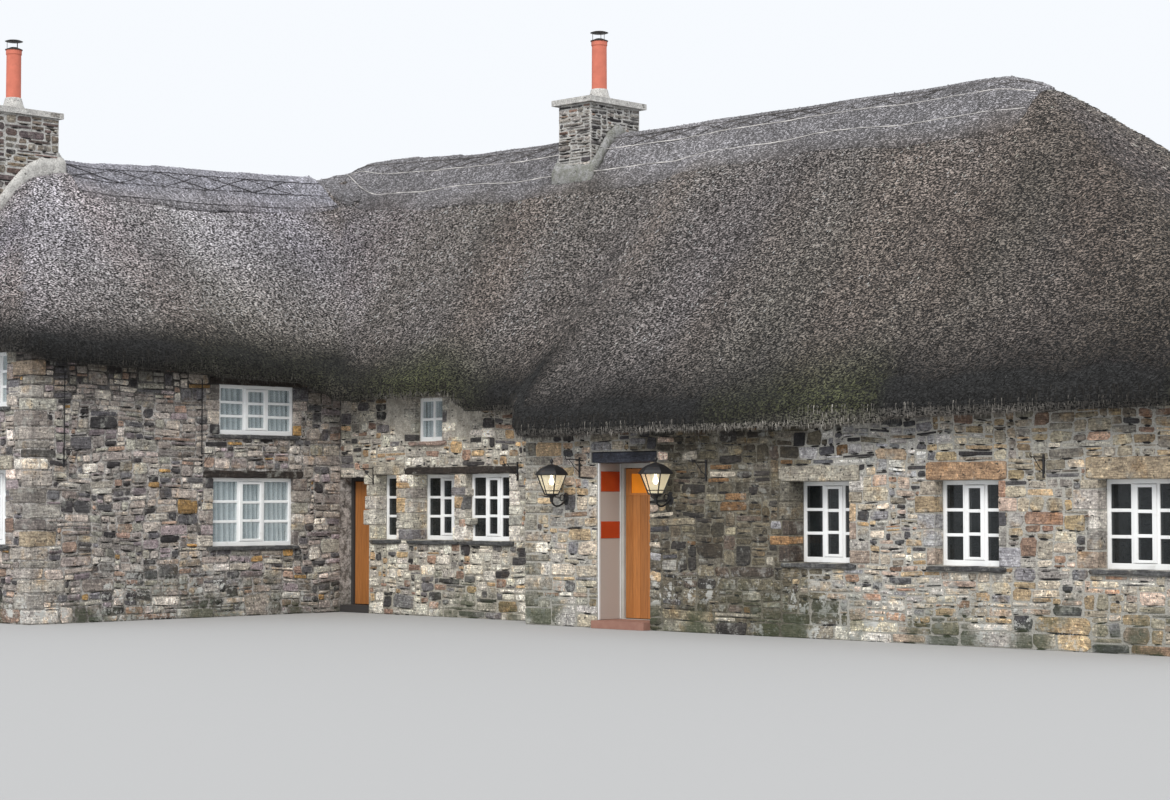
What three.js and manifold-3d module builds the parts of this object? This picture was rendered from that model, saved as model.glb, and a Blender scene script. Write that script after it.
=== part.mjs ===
// Thatched rubble-stone cottage on an L plan, millimetres, +Z up.
// X runs along the low main range, Y runs to the back, the main ridge lies over Y = 0.
// The origin is on the underside of the ground floor, at ground level, under the main ridge.

import * as THREE from 'three'
import Module from 'manifold-3d'
import { mergeVertices } from 'three/addons/utils/BufferGeometryUtils.js'

const wasm = await Module()
wasm.setup()

// Fit between touching pieces, under the thatch, and the bow used while its ends are closed
const GAP = 0.3
const THATCH_GAP = 0.8
const HAIR = 1

// Plan of the walls
const MAIN_RIGHT = 10440
const MAIN_FRONT = -3000
const MAIN_BACK = 3000
const MAIN_WALL = 600
const STEP_X = 0
const INNER_FRONT = -2400
const INNER_OVERLAP = 600
const WING_RIGHT = -4360
const WING_LEFT = -9660
const WING_FRONT = -7510
const WING_WALL = 500

// Heights of the walls before the thatch is seated on them
const MAIN_WALL_TOP = 2750
const INNER_WALL_TOP = 3250
const WING_WALL_TOP = 3800
const END_WALL_TOP = 2800
const REAR_WALL_TOP = 2850
const REAR_WING_WALL_TOP = 3600
const REAR_STEP = 200

// Floors
const FLOOR_TOP = 100
const UPPER_FLOOR_BOTTOM = 2120
const UPPER_FLOOR_TOP = 2250

// Eaves outline and height of the eaves' lower edge
const MAIN_EAVES_Y = -3450
const INNER_EAVES_Y = -2850
const REAR_EAVES_Y = 3450
const RIGHT_EAVES_X = 10840
const WING_INNER_EAVES_X = -3930
const WING_OUTER_EAVES_X = -10060
const WING_FRONT_EAVES_Y = -7910
const FOLD_LEFT = -400
const FOLD_RIGHT = 200
const FOLD_DRIFT = 0.3
const MAIN_EAVES_Z = 2295
const MAIN_EAVES_RISE = 0.0185
const INNER_EAVES_Z = 2730
const WINDOW_LIFT = 215
const LIFT_LEFT = -1700
const LIFT_RIGHT = -1450
const REAR_EAVES_Z = 2450
const REAR_WING_EAVES_Z = 3200
const REAR_CHANGE_LEFT = -5000
const REAR_CHANGE_RIGHT = -3000
const RIGHT_EAVES_Z = 2500
const WING_EAVES_Z = 3150
const WING_EAVES_GAIN = 170
const WING_FRONT_EAVES_Z = 3500

// Ridges
const MAIN_RIDGE_Z = 6850
const MAIN_RIDGE_GAIN = 120
const MAIN_RIDGE_GAIN_FULL = -6300
const MAIN_RIDGE_GAIN_FROM = -3500
const MAIN_RIDGE_RIGHT = 5640
const WING_RIDGE_X = (WING_RIGHT + WING_LEFT) / 2
const WING_RIDGE_Z = 6750
const WING_RIDGE_FALL = 0.047
const WING_RIDGE_FRONT = -5940

// Section of the thatch at the eaves: distance in from the edge, height over the lower edge
const NOSE = [[90, 0], [20, 60], [0, 150], [30, 250]]
const NOSE_TOP = [110, 340]
const SEAT_OUTER = 450
const SEAT_INNER = 650
const SEAT_RISE = 215
const HIP_SOFTNESS = 500
const VALLEY_SOFTNESS = 500
const SLOPE_STEPS = 9
const EAVES_STEP = 700
const RIDGE_CAP_HALF = 750
const RIDGE_CAP_DEPTH = 28
const RIDGE_CAP_SUNK = 80
const RIDGE_CAP_PAST_HIP = 300
const HIP_POINT = 4
const LET_IN_DEPTH = 3 * GAP
const LET_IN_HEADROOM = 500

// Swells and dips of the old straw: their height, their spacing along and up a slope, the heights between
// which they grow to their full size, and the heights between which they die down to a share at the ridge
const SWELL = 32
const SWELL_ALONG = 2300
const SWELL_UP = 2100
const SWELL_FROM_Z = 3500
const SWELL_FULL_Z = 4000
const SWELL_TO_Z = 6000
const SWELL_RIDGE_Z = 6500
const SWELL_RIDGE_SHARE = 0.3

// Windows: name, wall, lower and upper end along the wall, sill and head height, recess of the frame
const FRAME_DEPTH = 70
const FRAME_WIDTH = 45
const PANE_THICKNESS = 14
const PANE_BITE = 5
const WINDOWS = [
  { name: 'front_window_1', wall: 'front', from: 4300, to: 5180, bottom: 856, top: 1786, recess: 270 },
  { name: 'front_window_2', wall: 'front', from: 6340, to: 7180, bottom: 856, top: 1786, recess: 160 },
  { name: 'front_window_3', wall: 'front', from: 8390, to: 9290, bottom: 856, top: 1786, recess: 180 },
  { name: 'inner_window_1', wall: 'inner', from: -3600, to: -3160, bottom: 1030, top: 1930, recess: 200 },
  { name: 'inner_window_2', wall: 'inner', from: -2830, to: -1980, bottom: 1030, top: 1930, recess: 270 },
  { name: 'inner_window_3', wall: 'inner', from: -1770, to: -920, bottom: 1030, top: 1930, recess: 120 },
  { name: 'inner_upper_window', wall: 'inner', from: -2790, to: -2230, bottom: 2380, top: 2980, recess: 100 },
  { name: 'wing_side_window', wall: 'wing_side', from: -4650, to: -3250, bottom: 950, top: 1880, recess: 60 },
  { name: 'wing_side_upper_window', wall: 'wing_side', from: -4550, to: -3260,
    bottom: 2470, top: 3150, recess: 25 },
  { name: 'wing_end_window_1', wall: 'wing_end', from: -5810, to: -4910, bottom: 1000, top: 1970, recess: 150 },
  { name: 'wing_end_window_2', wall: 'wing_end', from: -9110, to: -8210, bottom: 1000, top: 1970, recess: 150 },
  { name: 'wing_end_upper_window_1', wall: 'wing_end', from: -5810, to: -4910,
    bottom: 2780, top: 3490, recess: 100 },
  { name: 'wing_end_upper_window_2', wall: 'wing_end', from: -9110, to: -8210,
    bottom: 2780, top: 3490, recess: 100 },
  { name: 'wing_outer_window', wall: 'wing_outer', from: -4550, to: -3260,
    bottom: 1000, top: 1930, recess: 150 },
  { name: 'rear_window_1', wall: 'rear', from: -7400, to: -6500, bottom: 1000, top: 1930, recess: 150 },
  { name: 'rear_window_2', wall: 'rear', from: 1300, to: 2200, bottom: 900, top: 1786, recess: 150 },
  { name: 'rear_window_3', wall: 'rear', from: 6300, to: 7200, bottom: 900, top: 1786, recess: 150 },
]

// Doorways: opening, recess of the frame and the leaf inside it
const FRONT_DOORWAY = { from: 1260, to: 2140, top: 2035, face: MAIN_FRONT, recess: 410, jamb: 60 }
const SIDE_DOORWAY = { from: WING_RIGHT, to: -3740, top: 1900, face: INNER_FRONT, recess: 200, jamb: 50 }
const DOOR_FRAME_DEPTH = 70
const LEAF_THICKNESS = 44
const LEAF_GAP = 8

// Pintle hinges on the room side: a pin on a lug of the frame, and a knuckle on a strap of the leaf
const PIN_RADIUS = 6
const PIN_INTO_DOORWAY = 2
const PIN_TO_LEAF = 3
const PIN_BEHIND_FRAME = 14
const PIN_BEHIND_LEAF = 12
const KNUCKLE_RADIUS = 11
const KNUCKLE_HEIGHT = 36
const LUG_WIDTH = 30
const LUG_REACH = 8
const LUG_HEIGHT = 14
const STRAP_LENGTH = 320
const STRAP_THICKNESS = 5
const HINGE_FROM_END = 260
const HINGE_SIDES = 16
const BITE = 1
const LINTEL_HEIGHT = 135
const LINTEL_BEARING = 110
const DOORSTEP_PROJECTION = 120
const DOORSTEP_TOP = 95

// Chimney stacks: centre, size along X and Y, top of the shaft, cap, pot on its bed of mortar, cowl
const STACK_WIDTH = 620
const CAP_THICKNESS = 80
const FILLET_WIDTH = 90
const FILLET_HEIGHT = 150
const FILLET_SUNK = 120
const MAIN_STACK = {
  x: -1576, y: 0, length: 1000, top: 7135, overhang: 75, potRadius: 108, potHeight: 875 }
const WING_STACK = {
  x: WING_RIDGE_X, y: -6130, length: 1080, top: 6905, overhang: 50, potRadius: 103, potHeight: 860 }
const POT_BED_HEIGHT = 190
const POT_RIM = 60
const BREAST_TOP = 3200
const COWL_HEIGHT = 145
const COWL_REACH = 1.22
const UNDER_THE_ROOF = 3000
const OVER_THE_ROOF = 9000

// Wall lanterns: where the plate meets the wall
const LANTERNS = [
  { name: 'left_lantern', x: 725 },
  { name: 'right_lantern', x: 2478 },
]
const LANTERN_PLATE_Z = 1590
const LANTERN_REACH = 270

const COLOURS = {
  masonry: 0x8d8069,
  oak: 0x3f2f26,
  white: 0xe9e9e4,
  door: 0x9b5a2c,
  doorstep: 0x9a6a5c,
  thatch: 0x5f574c,
  ridge: 0x77706a,
  mortar: 0xb9b3a2,
  terracotta: 0xb8583f,
  iron: 0x1d1d20,
  floor: 0x6f6a60,
}

const cottage = new THREE.Group()

function material(colour, roughness = 0.9, metalness = 0) {
  return new THREE.MeshStandardMaterial({ color: COLOURS[colour], roughness, metalness })
}

function addPiece(name, solid, surface) {
  const mesh = new THREE.Mesh(toGeometry(solid), surface)
  mesh.name = name
  cottage.add(mesh)
}

// Solids: closed meshes joined and cut as manifolds

function toSolid(geometry) {
  const bare = geometry.index ? geometry.toNonIndexed() : geometry.clone()
  bare.deleteAttribute('normal')
  bare.deleteAttribute('uv')
  const merged = mergeVertices(bare, 1e-3)
  return new wasm.Manifold(new wasm.Mesh({
    numProp: 3,
    vertProperties: new Float32Array(merged.attributes.position.array),
    triVerts: new Uint32Array(merged.index.array),
  }))
}

function toGeometry(solid) {
  const mesh = solid.getMesh()
  const geometry = new THREE.BufferGeometry()
  geometry.setAttribute('position', new THREE.BufferAttribute(new Float32Array(mesh.vertProperties), 3))
  geometry.setIndex(new THREE.BufferAttribute(new Uint32Array(mesh.triVerts), 1))
  geometry.computeVertexNormals()
  return geometry
}

function block(x0, x1, y0, y1, z0, z1) {
  const geometry = new THREE.BoxGeometry(x1 - x0, y1 - y0, z1 - z0)
  geometry.translate((x0 + x1) / 2, (y0 + y1) / 2, (z0 + z1) / 2)
  return toSolid(geometry)
}

function turned(profile, x, y, z, sides) {
  const geometry = new THREE.LatheGeometry(profile.map(([r, h]) => new THREE.Vector2(r, h)), sides)
  geometry.rotateX(Math.PI / 2)
  geometry.translate(x, y, z)
  return toSolid(geometry)
}

// A flat outline in plan, raised from z0 to z1
function raisedPlan(points, z0, z1) {
  const shape = new THREE.Shape(points.map(([x, y]) => new THREE.Vector2(x, y)))
  const geometry = new THREE.ExtrudeGeometry(shape, { depth: z1 - z0, bevelEnabled: false })
  geometry.translate(0, 0, z0)
  return toSolid(geometry)
}

// A wall drawn in elevation: 'along' runs along X or Y, and the wall fills the other axis from low to high
function elevation(points, axis, low, high) {
  const shape = new THREE.Shape(points.map(([along, z]) => new THREE.Vector2(along, z)))
  const geometry = new THREE.ExtrudeGeometry(shape, { depth: high - low, bevelEnabled: false })
  const basis = new THREE.Matrix4()
  const [x, y, z] = [new THREE.Vector3(1, 0, 0), new THREE.Vector3(0, 1, 0), new THREE.Vector3(0, 0, 1)]
  if (axis === 'x') {
    basis.makeBasis(x, z, y.clone().negate())
    geometry.applyMatrix4(basis)
    geometry.translate(0, high, 0)
  } else {
    basis.makeBasis(y, z, x)
    geometry.applyMatrix4(basis)
    geometry.translate(low, 0, 0)
  }
  return toSolid(geometry)
}

function smoothStep(low, high, value) {
  const t = Math.min(Math.max((value - low) / (high - low), 0), 1)
  return t * t * (3 - 2 * t)
}

function softLower(a, b, softness) {
  const h = Math.max(softness - Math.abs(a - b), 0) / softness
  return Math.min(a, b) - h * h * softness / 4
}

function softHigher(a, b, softness) {
  return -softLower(-a, -b, softness)
}

function along(nodes, value) {
  for (let i = 1; i < nodes.length; i++) {
    const [v0, r0] = nodes[i - 1]
    const [v1, r1] = nodes[i]
    if (value <= v1) return r0 + (r1 - r0) * Math.max(value - v0, 0) / (v1 - v0)
  }
  return nodes[nodes.length - 1][1]
}

// Top surface of the thatch: each slope is ruled from its eaves to its ridge, then softly joined

function frontEavesY(x) {
  return INNER_EAVES_Y + (MAIN_EAVES_Y - INNER_EAVES_Y) * smoothStep(FOLD_LEFT, FOLD_RIGHT, x)
}

function frontEavesZ(x) {
  const main = MAIN_EAVES_Z + MAIN_EAVES_RISE * x
  return INNER_EAVES_Z + (main - INNER_EAVES_Z) * smoothStep(FOLD_LEFT, FOLD_RIGHT, x)
}

function mainRidgeZ(x) {
  return MAIN_RIDGE_Z + MAIN_RIDGE_GAIN * (1 - smoothStep(MAIN_RIDGE_GAIN_FULL, MAIN_RIDGE_GAIN_FROM, x))
}

function frontSlope(x, y) {
  const foldX = x - FOLD_DRIFT * Math.max(y - INNER_EAVES_Y, 0)
  const reach = -y / (-frontEavesY(foldX) - NOSE_TOP[0])
  const lift = WINDOW_LIFT * (1 - smoothStep(LIFT_LEFT, LIFT_RIGHT, x)) * Math.max(reach, 0) ** 3
  const ridge = mainRidgeZ(x)
  return ridge - (ridge - frontEavesZ(foldX) - NOSE_TOP[1]) * reach + lift
}

function rearSlope(x, y) {
  const wingShare = 1 - smoothStep(REAR_CHANGE_LEFT, REAR_CHANGE_RIGHT, x)
  const eaves = REAR_EAVES_Z + (REAR_WING_EAVES_Z - REAR_EAVES_Z) * wingShare + NOSE_TOP[1]
  const ridge = mainRidgeZ(x)
  return ridge - (ridge - eaves) * y / (REAR_EAVES_Y - NOSE_TOP[0])
}

function rightHip(x) {
  const run = RIGHT_EAVES_X - NOSE_TOP[0] - MAIN_RIDGE_RIGHT
  return MAIN_RIDGE_Z - (MAIN_RIDGE_Z - RIGHT_EAVES_Z - NOSE_TOP[1]) * (x - MAIN_RIDGE_RIGHT) / run
}

function wingRidgeZ(y) {
  return WING_RIDGE_Z + WING_RIDGE_FALL * y
}

function wingSlope(x, y, side) {
  const run = WING_INNER_EAVES_X - NOSE_TOP[0] - WING_RIDGE_X
  const gain = Math.max(INNER_EAVES_Y - y, 0) / (INNER_EAVES_Y - WING_FRONT_EAVES_Y)
  const eaves = WING_EAVES_Z + WING_EAVES_GAIN * gain + NOSE_TOP[1]
  return wingRidgeZ(y) - (wingRidgeZ(y) - eaves) * side * (x - WING_RIDGE_X) / run
}

function wingHip(y) {
  const ridge = wingRidgeZ(WING_RIDGE_FRONT)
  const run = WING_RIDGE_FRONT - WING_FRONT_EAVES_Y - NOSE_TOP[0]
  return ridge - (ridge - WING_FRONT_EAVES_Z - NOSE_TOP[1]) * (WING_RIDGE_FRONT - y) / run
}

function swell(x, y) {
  const lengthwise = Math.sin(2 * Math.PI * (x + 0.35 * y) / SWELL_ALONG)
  const upward = Math.sin(2 * Math.PI * (y - 0.3 * x) / SWELL_UP)
  return SWELL * (lengthwise + upward) / 2 + SWELL * lengthwise * upward
}

function thatchTop(x, y) {
  const outer = wingSlope(x, y, -1)
  const main = [rearSlope(x, y), rightHip(x), outer].reduce(
    (low, plane) => softLower(low, plane, HIP_SOFTNESS), frontSlope(x, y))
  const wing = [wingHip(y), rearSlope(x, y), outer].reduce(
    (low, plane) => softLower(low, plane, HIP_SOFTNESS), wingSlope(x, y, 1))
  const even = softHigher(main, wing, VALLEY_SOFTNESS)
  const grown = smoothStep(SWELL_FROM_Z, SWELL_FULL_Z, even)
  const died = (1 - SWELL_RIDGE_SHARE) * smoothStep(SWELL_TO_Z, SWELL_RIDGE_Z, even)
  return even + swell(x, y) * (grown - died)
}

// Eaves outline with rounded corners

const EAVES_CORNERS = {
  wingLeft: { x: WING_OUTER_EAVES_X, y: WING_FRONT_EAVES_Y, radius: 600 },
  wingRight: { x: WING_INNER_EAVES_X, y: WING_FRONT_EAVES_Y, radius: 600 },
  inner: { x: WING_INNER_EAVES_X, y: INNER_EAVES_Y, radius: 900 },
  foldLeft: { x: FOLD_LEFT, y: INNER_EAVES_Y, radius: 300 },
  foldRight: { x: FOLD_RIGHT, y: MAIN_EAVES_Y, radius: 300 },
  frontRight: { x: RIGHT_EAVES_X, y: MAIN_EAVES_Y, radius: 700 },
  backRight: { x: RIGHT_EAVES_X, y: REAR_EAVES_Y, radius: 700 },
  backLeft: { x: WING_OUTER_EAVES_X, y: REAR_EAVES_Y, radius: 600 },
}
const CORNER_ORDER = Object.keys(EAVES_CORNERS)

function cornerArc(name) {
  const at = CORNER_ORDER.indexOf(name)
  const point = (index) => {
    const { x, y } = EAVES_CORNERS[CORNER_ORDER[(index + CORNER_ORDER.length) % CORNER_ORDER.length]]
    return new THREE.Vector2(x, y)
  }
  const corner = point(at)
  const radius = EAVES_CORNERS[name].radius
  const before = point(at - 1).sub(corner).normalize()
  const after = point(at + 1).sub(corner).normalize()
  const half = Math.acos(before.dot(after)) / 2
  const reach = radius / Math.tan(half)
  const start = corner.clone().addScaledVector(before, reach)
  const end = corner.clone().addScaledVector(after, reach)
  const curve = new THREE.QuadraticBezierCurve(start, corner, end)
  return curve.getPoints(6)
}

// Eaves points of one slope, from the middle of one corner to the middle of the next
function eavesRun(names, extra = []) {
  const first = cornerArc(names[0])
  const last = cornerArc(names[names.length - 1])
  const points = first.slice(3)
  const between = names.slice(1, -1).map(cornerArc)
  for (const arc of [...between, last.slice(0, 4)]) {
    const start = points[points.length - 1]
    const end = arc[0]
    const count = Math.ceil(start.distanceTo(end) / EAVES_STEP)
    const stops = Array.from({ length: count - 1 }, (_, i) => (i + 1) / count)
    for (const at of extra) {
      const t = (at - start.x) / (end.x - start.x)
      if (t > 0.01 && t < 0.99) stops.push(t)
    }
    stops.sort((a, b) => a - b)
    for (const t of stops) points.push(start.clone().lerp(end, t))
    points.push(...arc)
  }
  return points
}

// One slope of thatch: a closed section at each eaves point, run up to its ridge point. Its two ends are
// drawn in by the inset, or run past the next slope where the inset is negative.
function thatchSlope(eaves, ridgeAt, inset) {
  const columns = eaves.map((edge, i) => {
    const share = i / (eaves.length - 1)
    return { edge: edge.clone(), ridge: ridgeAt(edge, share) }
  })
  insetEnd(columns[0], inset)
  insetEnd(columns[columns.length - 1], -inset)
  const sections = columns.map(({ edge, ridge }) => thatchSection(edge, ridge))
  return loftSections(sections)
}

function insetEnd(column, inset) {
  const direction = column.ridge.clone().sub(column.edge).normalize()
  const across = new THREE.Vector2(direction.y, -direction.x).multiplyScalar(inset)
  column.edge.add(across)
  column.ridge.add(across)
}

function thatchSection(edge, ridge) {
  const length = edge.distanceTo(ridge)
  const place = (distance) => edge.clone().lerp(ridge, distance / length)
  const topAt = (distance) => {
    const point = place(distance)
    return thatchTop(point.x, point.y)
  }
  const eavesZ = topAt(NOSE_TOP[0]) - NOSE_TOP[1]
  const depth = topAt(SEAT_INNER) - eavesZ - SEAT_RISE
  const section = NOSE.map(([distance, rise]) => [distance, eavesZ + rise, 0])
  for (let i = 0; i <= SLOPE_STEPS; i++) {
    const eased = 1 - (1 - i / SLOPE_STEPS) ** 1.3
    const distance = NOSE_TOP[0] + (length - NOSE_TOP[0]) * eased
    section.push([distance, topAt(distance), 1])
  }
  for (let i = 3; i >= 1; i--) {
    const distance = SEAT_INNER + (length - SEAT_INNER) * i / 3
    section.push([distance, topAt(distance) - depth, -1])
  }
  section.push([SEAT_INNER, eavesZ + SEAT_RISE, -1])
  section.push([SEAT_OUTER, eavesZ + SEAT_RISE, -1])
  return section.map(([distance, z, side]) => {
    const point = place(distance)
    return { x: point.x, y: point.y, z, distance, side }
  })
}

function loftSections(sections) {
  const count = sections[0].length
  const corners = []
  const face = (a, b, c) => corners.push(a.x, a.y, a.z, b.x, b.y, b.z, c.x, c.y, c.z)
  for (let i = 0; i + 1 < sections.length; i++) {
    for (let j = 0; j < count; j++) {
      const [a, b] = [sections[i][j], sections[i][(j + 1) % count]]
      const [c, d] = [sections[i + 1][(j + 1) % count], sections[i + 1][j]]
      face(a, c, b)
      face(a, d, c)
    }
  }
  const first = sections[0]
  const last = sections[sections.length - 1]
  for (const [a, b, c] of endFaces(first)) face(first[a], first[b], first[c])
  for (const [a, b, c] of endFaces(last)) face(last[a], last[c], last[b])
  const geometry = new THREE.BufferGeometry()
  geometry.setAttribute('position', new THREE.Float32BufferAttribute(corners, 3))
  return toSolid(outward(withoutSlivers(geometry)))
}

// The triangles of a flat end, wound the same way round as its outline. Straight runs are bowed in by a hair
// while the triangles are chosen, so that each point on them is used.
function endFaces(section) {
  const distances = section.map(({ distance }) => distance)
  const middle = (Math.min(...distances) + Math.max(...distances)) / 2
  const half = (Math.max(...distances) - Math.min(...distances)) / 2
  const outline = section.map(({ distance, z, side }) => {
    const bow = HAIR * (1 - ((distance - middle) / half) ** 2)
    return new THREE.Vector2(distance, z - side * bow)
  })
  const sameWay = ([a, b, c]) =>
    THREE.ShapeUtils.area([outline[a], outline[b], outline[c]]) * THREE.ShapeUtils.area(outline) > 0
  return THREE.ShapeUtils.triangulateShape([...outline], []).map(
    (face) => (sameWay(face) ? face : [face[0], face[2], face[1]]))
}

// Triangles that shrink to nothing where a hip comes to its point are left out
function withoutSlivers(geometry) {
  const merged = mergeVertices(geometry, 1e-3)
  const kept = []
  const index = merged.index.array
  for (let i = 0; i < index.length; i += 3) {
    const [a, b, c] = [index[i], index[i + 1], index[i + 2]]
    if (a !== b && b !== c && c !== a) kept.push(a, b, c)
  }
  merged.setIndex(kept)
  return merged
}

function outward(geometry) {
  const position = geometry.attributes.position
  const index = geometry.index.array
  let volume = 0
  const [a, b, c] = [new THREE.Vector3(), new THREE.Vector3(), new THREE.Vector3()]
  for (let i = 0; i < index.length; i += 3) {
    a.fromBufferAttribute(position, index[i])
    b.fromBufferAttribute(position, index[i + 1])
    c.fromBufferAttribute(position, index[i + 2])
    volume += a.dot(b.cross(c))
  }
  if (volume > 0) return geometry
  const turnedOver = Array.from(index)
  for (let i = 0; i < turnedOver.length; i += 3) {
    [turnedOver[i + 1], turnedOver[i + 2]] = [turnedOver[i + 2], turnedOver[i + 1]]
  }
  geometry.setIndex(turnedOver)
  return geometry
}

// A block whose top and bottom follow the thatch at two heights above it
function blockOnThatch(x0, x1, y0, y1, low, high, stepsX, stepsY) {
  const sections = []
  for (let i = 0; i <= stepsX; i++) {
    const x = x0 + (x1 - x0) * i / stepsX
    const line = (rise, side) => Array.from({ length: stepsY + 1 }, (_, j) => {
      const y = y0 + (y1 - y0) * j / stepsY
      return { x, y, z: thatchTop(x, y) + rise, distance: y, side }
    })
    sections.push([...line(low, -1), ...line(high, 1).reverse()])
  }
  return loftSections(sections)
}

// Ridge points that go with eaves points: pairs of the coordinate along the eaves and along the ridge
const FRONT_RIDGE = [
  [-3667, WING_RIDGE_X], [-2300, -2800], [-1500, -1500], [5000, 4600], [10700, MAIN_RIDGE_RIGHT]]
const REAR_RIDGE = [
  [-9900, WING_RIDGE_X], [-6500, -5800], [-4500, -4500], [5000, 4600], [10700, MAIN_RIDGE_RIGHT]]
const INNER_RIDGE = [[-7700, WING_RIDGE_FRONT], [-6300, -5300], [-4600, -4200], [-3113, 0]]
const OUTER_RIDGE = [[-7700, WING_RIDGE_FRONT], [-6000, -5200], [-3000, -3000], [1500, -600], [3300, 0]]

function makeThatch(inset) {
  const onMainRidge = (nodes, y) => (edge) => new THREE.Vector2(along(nodes, edge.x), y)
  const onWingRidge = (nodes, x, from, to) => (edge, share) => {
    const y = share === 0 ? from : share === 1 ? to : along(nodes, edge.y)
    return new THREE.Vector2(x, y)
  }
  const spread = (share) => (share - 0.5) * HIP_POINT
  const rightPoint = (edge, share) => new THREE.Vector2(MAIN_RIDGE_RIGHT + HIP_POINT, spread(share))
  const wingPoint = (edge, share) => new THREE.Vector2(
    WING_RIDGE_X + spread(share), WING_RIDGE_FRONT - HIP_POINT)
  const slope = (corners, ridgeAt, extra) => thatchSlope(eavesRun(corners, extra), ridgeAt, inset)
  return {
    main_thatch_front: slope(
      ['inner', 'foldLeft', 'foldRight', 'frontRight'], onMainRidge(FRONT_RIDGE, -inset),
      [LIFT_LEFT, LIFT_RIGHT]),
    right_thatch_hip: slope(['frontRight', 'backRight'], rightPoint),
    main_thatch_rear: slope(['backRight', 'backLeft'], onMainRidge(REAR_RIDGE, inset)),
    wing_thatch_outer: slope(
      ['backLeft', 'wingLeft'], onWingRidge(OUTER_RIDGE, WING_RIDGE_X - inset, 0, WING_RIDGE_FRONT)),
    wing_thatch_hip: slope(['wingLeft', 'wingRight'], wingPoint),
    wing_thatch_inner: slope(
      ['wingRight', 'inner'], onWingRidge(INNER_RIDGE, WING_RIDGE_X + inset, WING_RIDGE_FRONT, 0)),
  }
}

const thatch = makeThatch(GAP / 2)
const seats = makeThatch(-GAP)

function stackBlock(stack, margin, bottom, top) {
  return block(
    stack.x - STACK_WIDTH / 2 - margin, stack.x + STACK_WIDTH / 2 + margin,
    stack.y - stack.length / 2 - margin, stack.y + stack.length / 2 + margin, bottom, top)
}

function cutByThatch(solid) {
  return Object.values(seats).reduce(
    (left, slope) => left.subtract(slope.translate([0, 0, -THATCH_GAP])), solid)
}

// Ridge caps and mortar fillets are let into the thatch: the same block, a little larger, is cut away there
const letIn = []

function letIntoThatch(x0, x1, y0, y1, sunk, proud, stepsX, stepsY) {
  const bottom = -sunk - LET_IN_DEPTH
  const top = proud + LET_IN_HEADROOM
  letIn.push(blockOnThatch(x0 - GAP, x1 + GAP, y0 - GAP, y1 + GAP, bottom, top, stepsX, stepsY))
  return blockOnThatch(x0, x1, y0, y1, -sunk, proud, stepsX, stepsY)
}

function makeRidgeCaps() {
  const left = WING_RIDGE_X - RIDGE_CAP_HALF
  const right = MAIN_RIDGE_RIGHT + RIDGE_CAP_PAST_HIP
  const half = RIDGE_CAP_HALF
  const main = letIntoThatch(left, right, -half, half, RIDGE_CAP_SUNK, RIDGE_CAP_DEPTH, 22, 6)
  const back = -half - 2 * GAP
  const front = WING_STACK.y + WING_STACK.length / 2 + FILLET_WIDTH + 2 * GAP
  const wing = letIntoThatch(
    WING_RIDGE_X - half, WING_RIDGE_X + half, front, back, RIDGE_CAP_SUNK, RIDGE_CAP_DEPTH, 6, 8)
  const hole = stackBlock(MAIN_STACK, FILLET_WIDTH + GAP, UNDER_THE_ROOF, OVER_THE_ROOF)
  addPiece('main_ridge', main.subtract(hole), material('ridge'))
  addPiece('wing_ridge', wing, material('ridge'))
}

function makeFillet(name, stack) {
  const reachX = STACK_WIDTH / 2 + FILLET_WIDTH
  const reachY = stack.length / 2 + FILLET_WIDTH
  const body = letIntoThatch(
    stack.x - reachX, stack.x + reachX, stack.y - reachY, stack.y + reachY, FILLET_SUNK, FILLET_HEIGHT, 4, 6)
  addPiece(name, body.subtract(stackBlock(stack, GAP, UNDER_THE_ROOF, OVER_THE_ROOF)), material('mortar'))
}

function makeStack(name, stack, breastFront) {
  const shaft = stackBlock(stack, 0, FLOOR_TOP + GAP, stack.top + 1)
  const cap = stackBlock(stack, stack.overhang, stack.top, stack.top + CAP_THICKNESS)
  let body = shaft.add(cap)
  if (breastFront !== undefined) {
    body = body.add(block(
      stack.x - STACK_WIDTH / 2, stack.x + STACK_WIDTH / 2,
      breastFront + GAP, stack.y, FLOOR_TOP + GAP, BREAST_TOP))
  }
  addPiece(name, body, material('masonry'))
}

function makePot(name, stack) {
  const r = stack.potRadius
  const h = stack.potHeight
  const bed = stack.top + CAP_THICKNESS + GAP
  const profile = [
    [0, 0], [r * 1.7, 0], [r * 1.3, POT_BED_HEIGHT / 2], [r * 1.05, POT_BED_HEIGHT - 4],
    [r, POT_BED_HEIGHT], [r * 0.98, h - POT_RIM - 10], [r * 1.06, h - POT_RIM],
    [r * 1.06, h], [r * 0.8, h], [r * 0.8, h - 150], [0, h - 150]]
  addPiece(`${name}_pot`, turned(profile, stack.x, stack.y, bed, 20), material('terracotta', 0.8))

  const rim = bed + h + GAP
  const lid = r * COWL_REACH
  const collar = turned(
    [[r * 0.7, 0], [r * 1.1, 0], [r * 1.1, 14], [r * 0.7, 14], [r * 0.7, 0]], stack.x, stack.y, rim, 20)
  const lens = turned(
    [[0, COWL_HEIGHT - 40], [lid, COWL_HEIGHT - 26], [lid, COWL_HEIGHT - 18], [0, COWL_HEIGHT]],
    stack.x, stack.y, rim, 20)
  let cowl = collar.add(lens)
  for (let i = 0; i < 3; i++) {
    const angle = i * 2 * Math.PI / 3
    const x = stack.x + Math.cos(angle) * r * 0.9
    const y = stack.y + Math.sin(angle) * r * 0.9
    cowl = cowl.add(block(x - 6, x + 6, y - 6, y + 6, rim + 5, rim + COWL_HEIGHT - 22))
  }
  addPiece(`${name}_cowl`, cowl, material('iron', 0.5, 0.6))
}

// Windows

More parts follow.
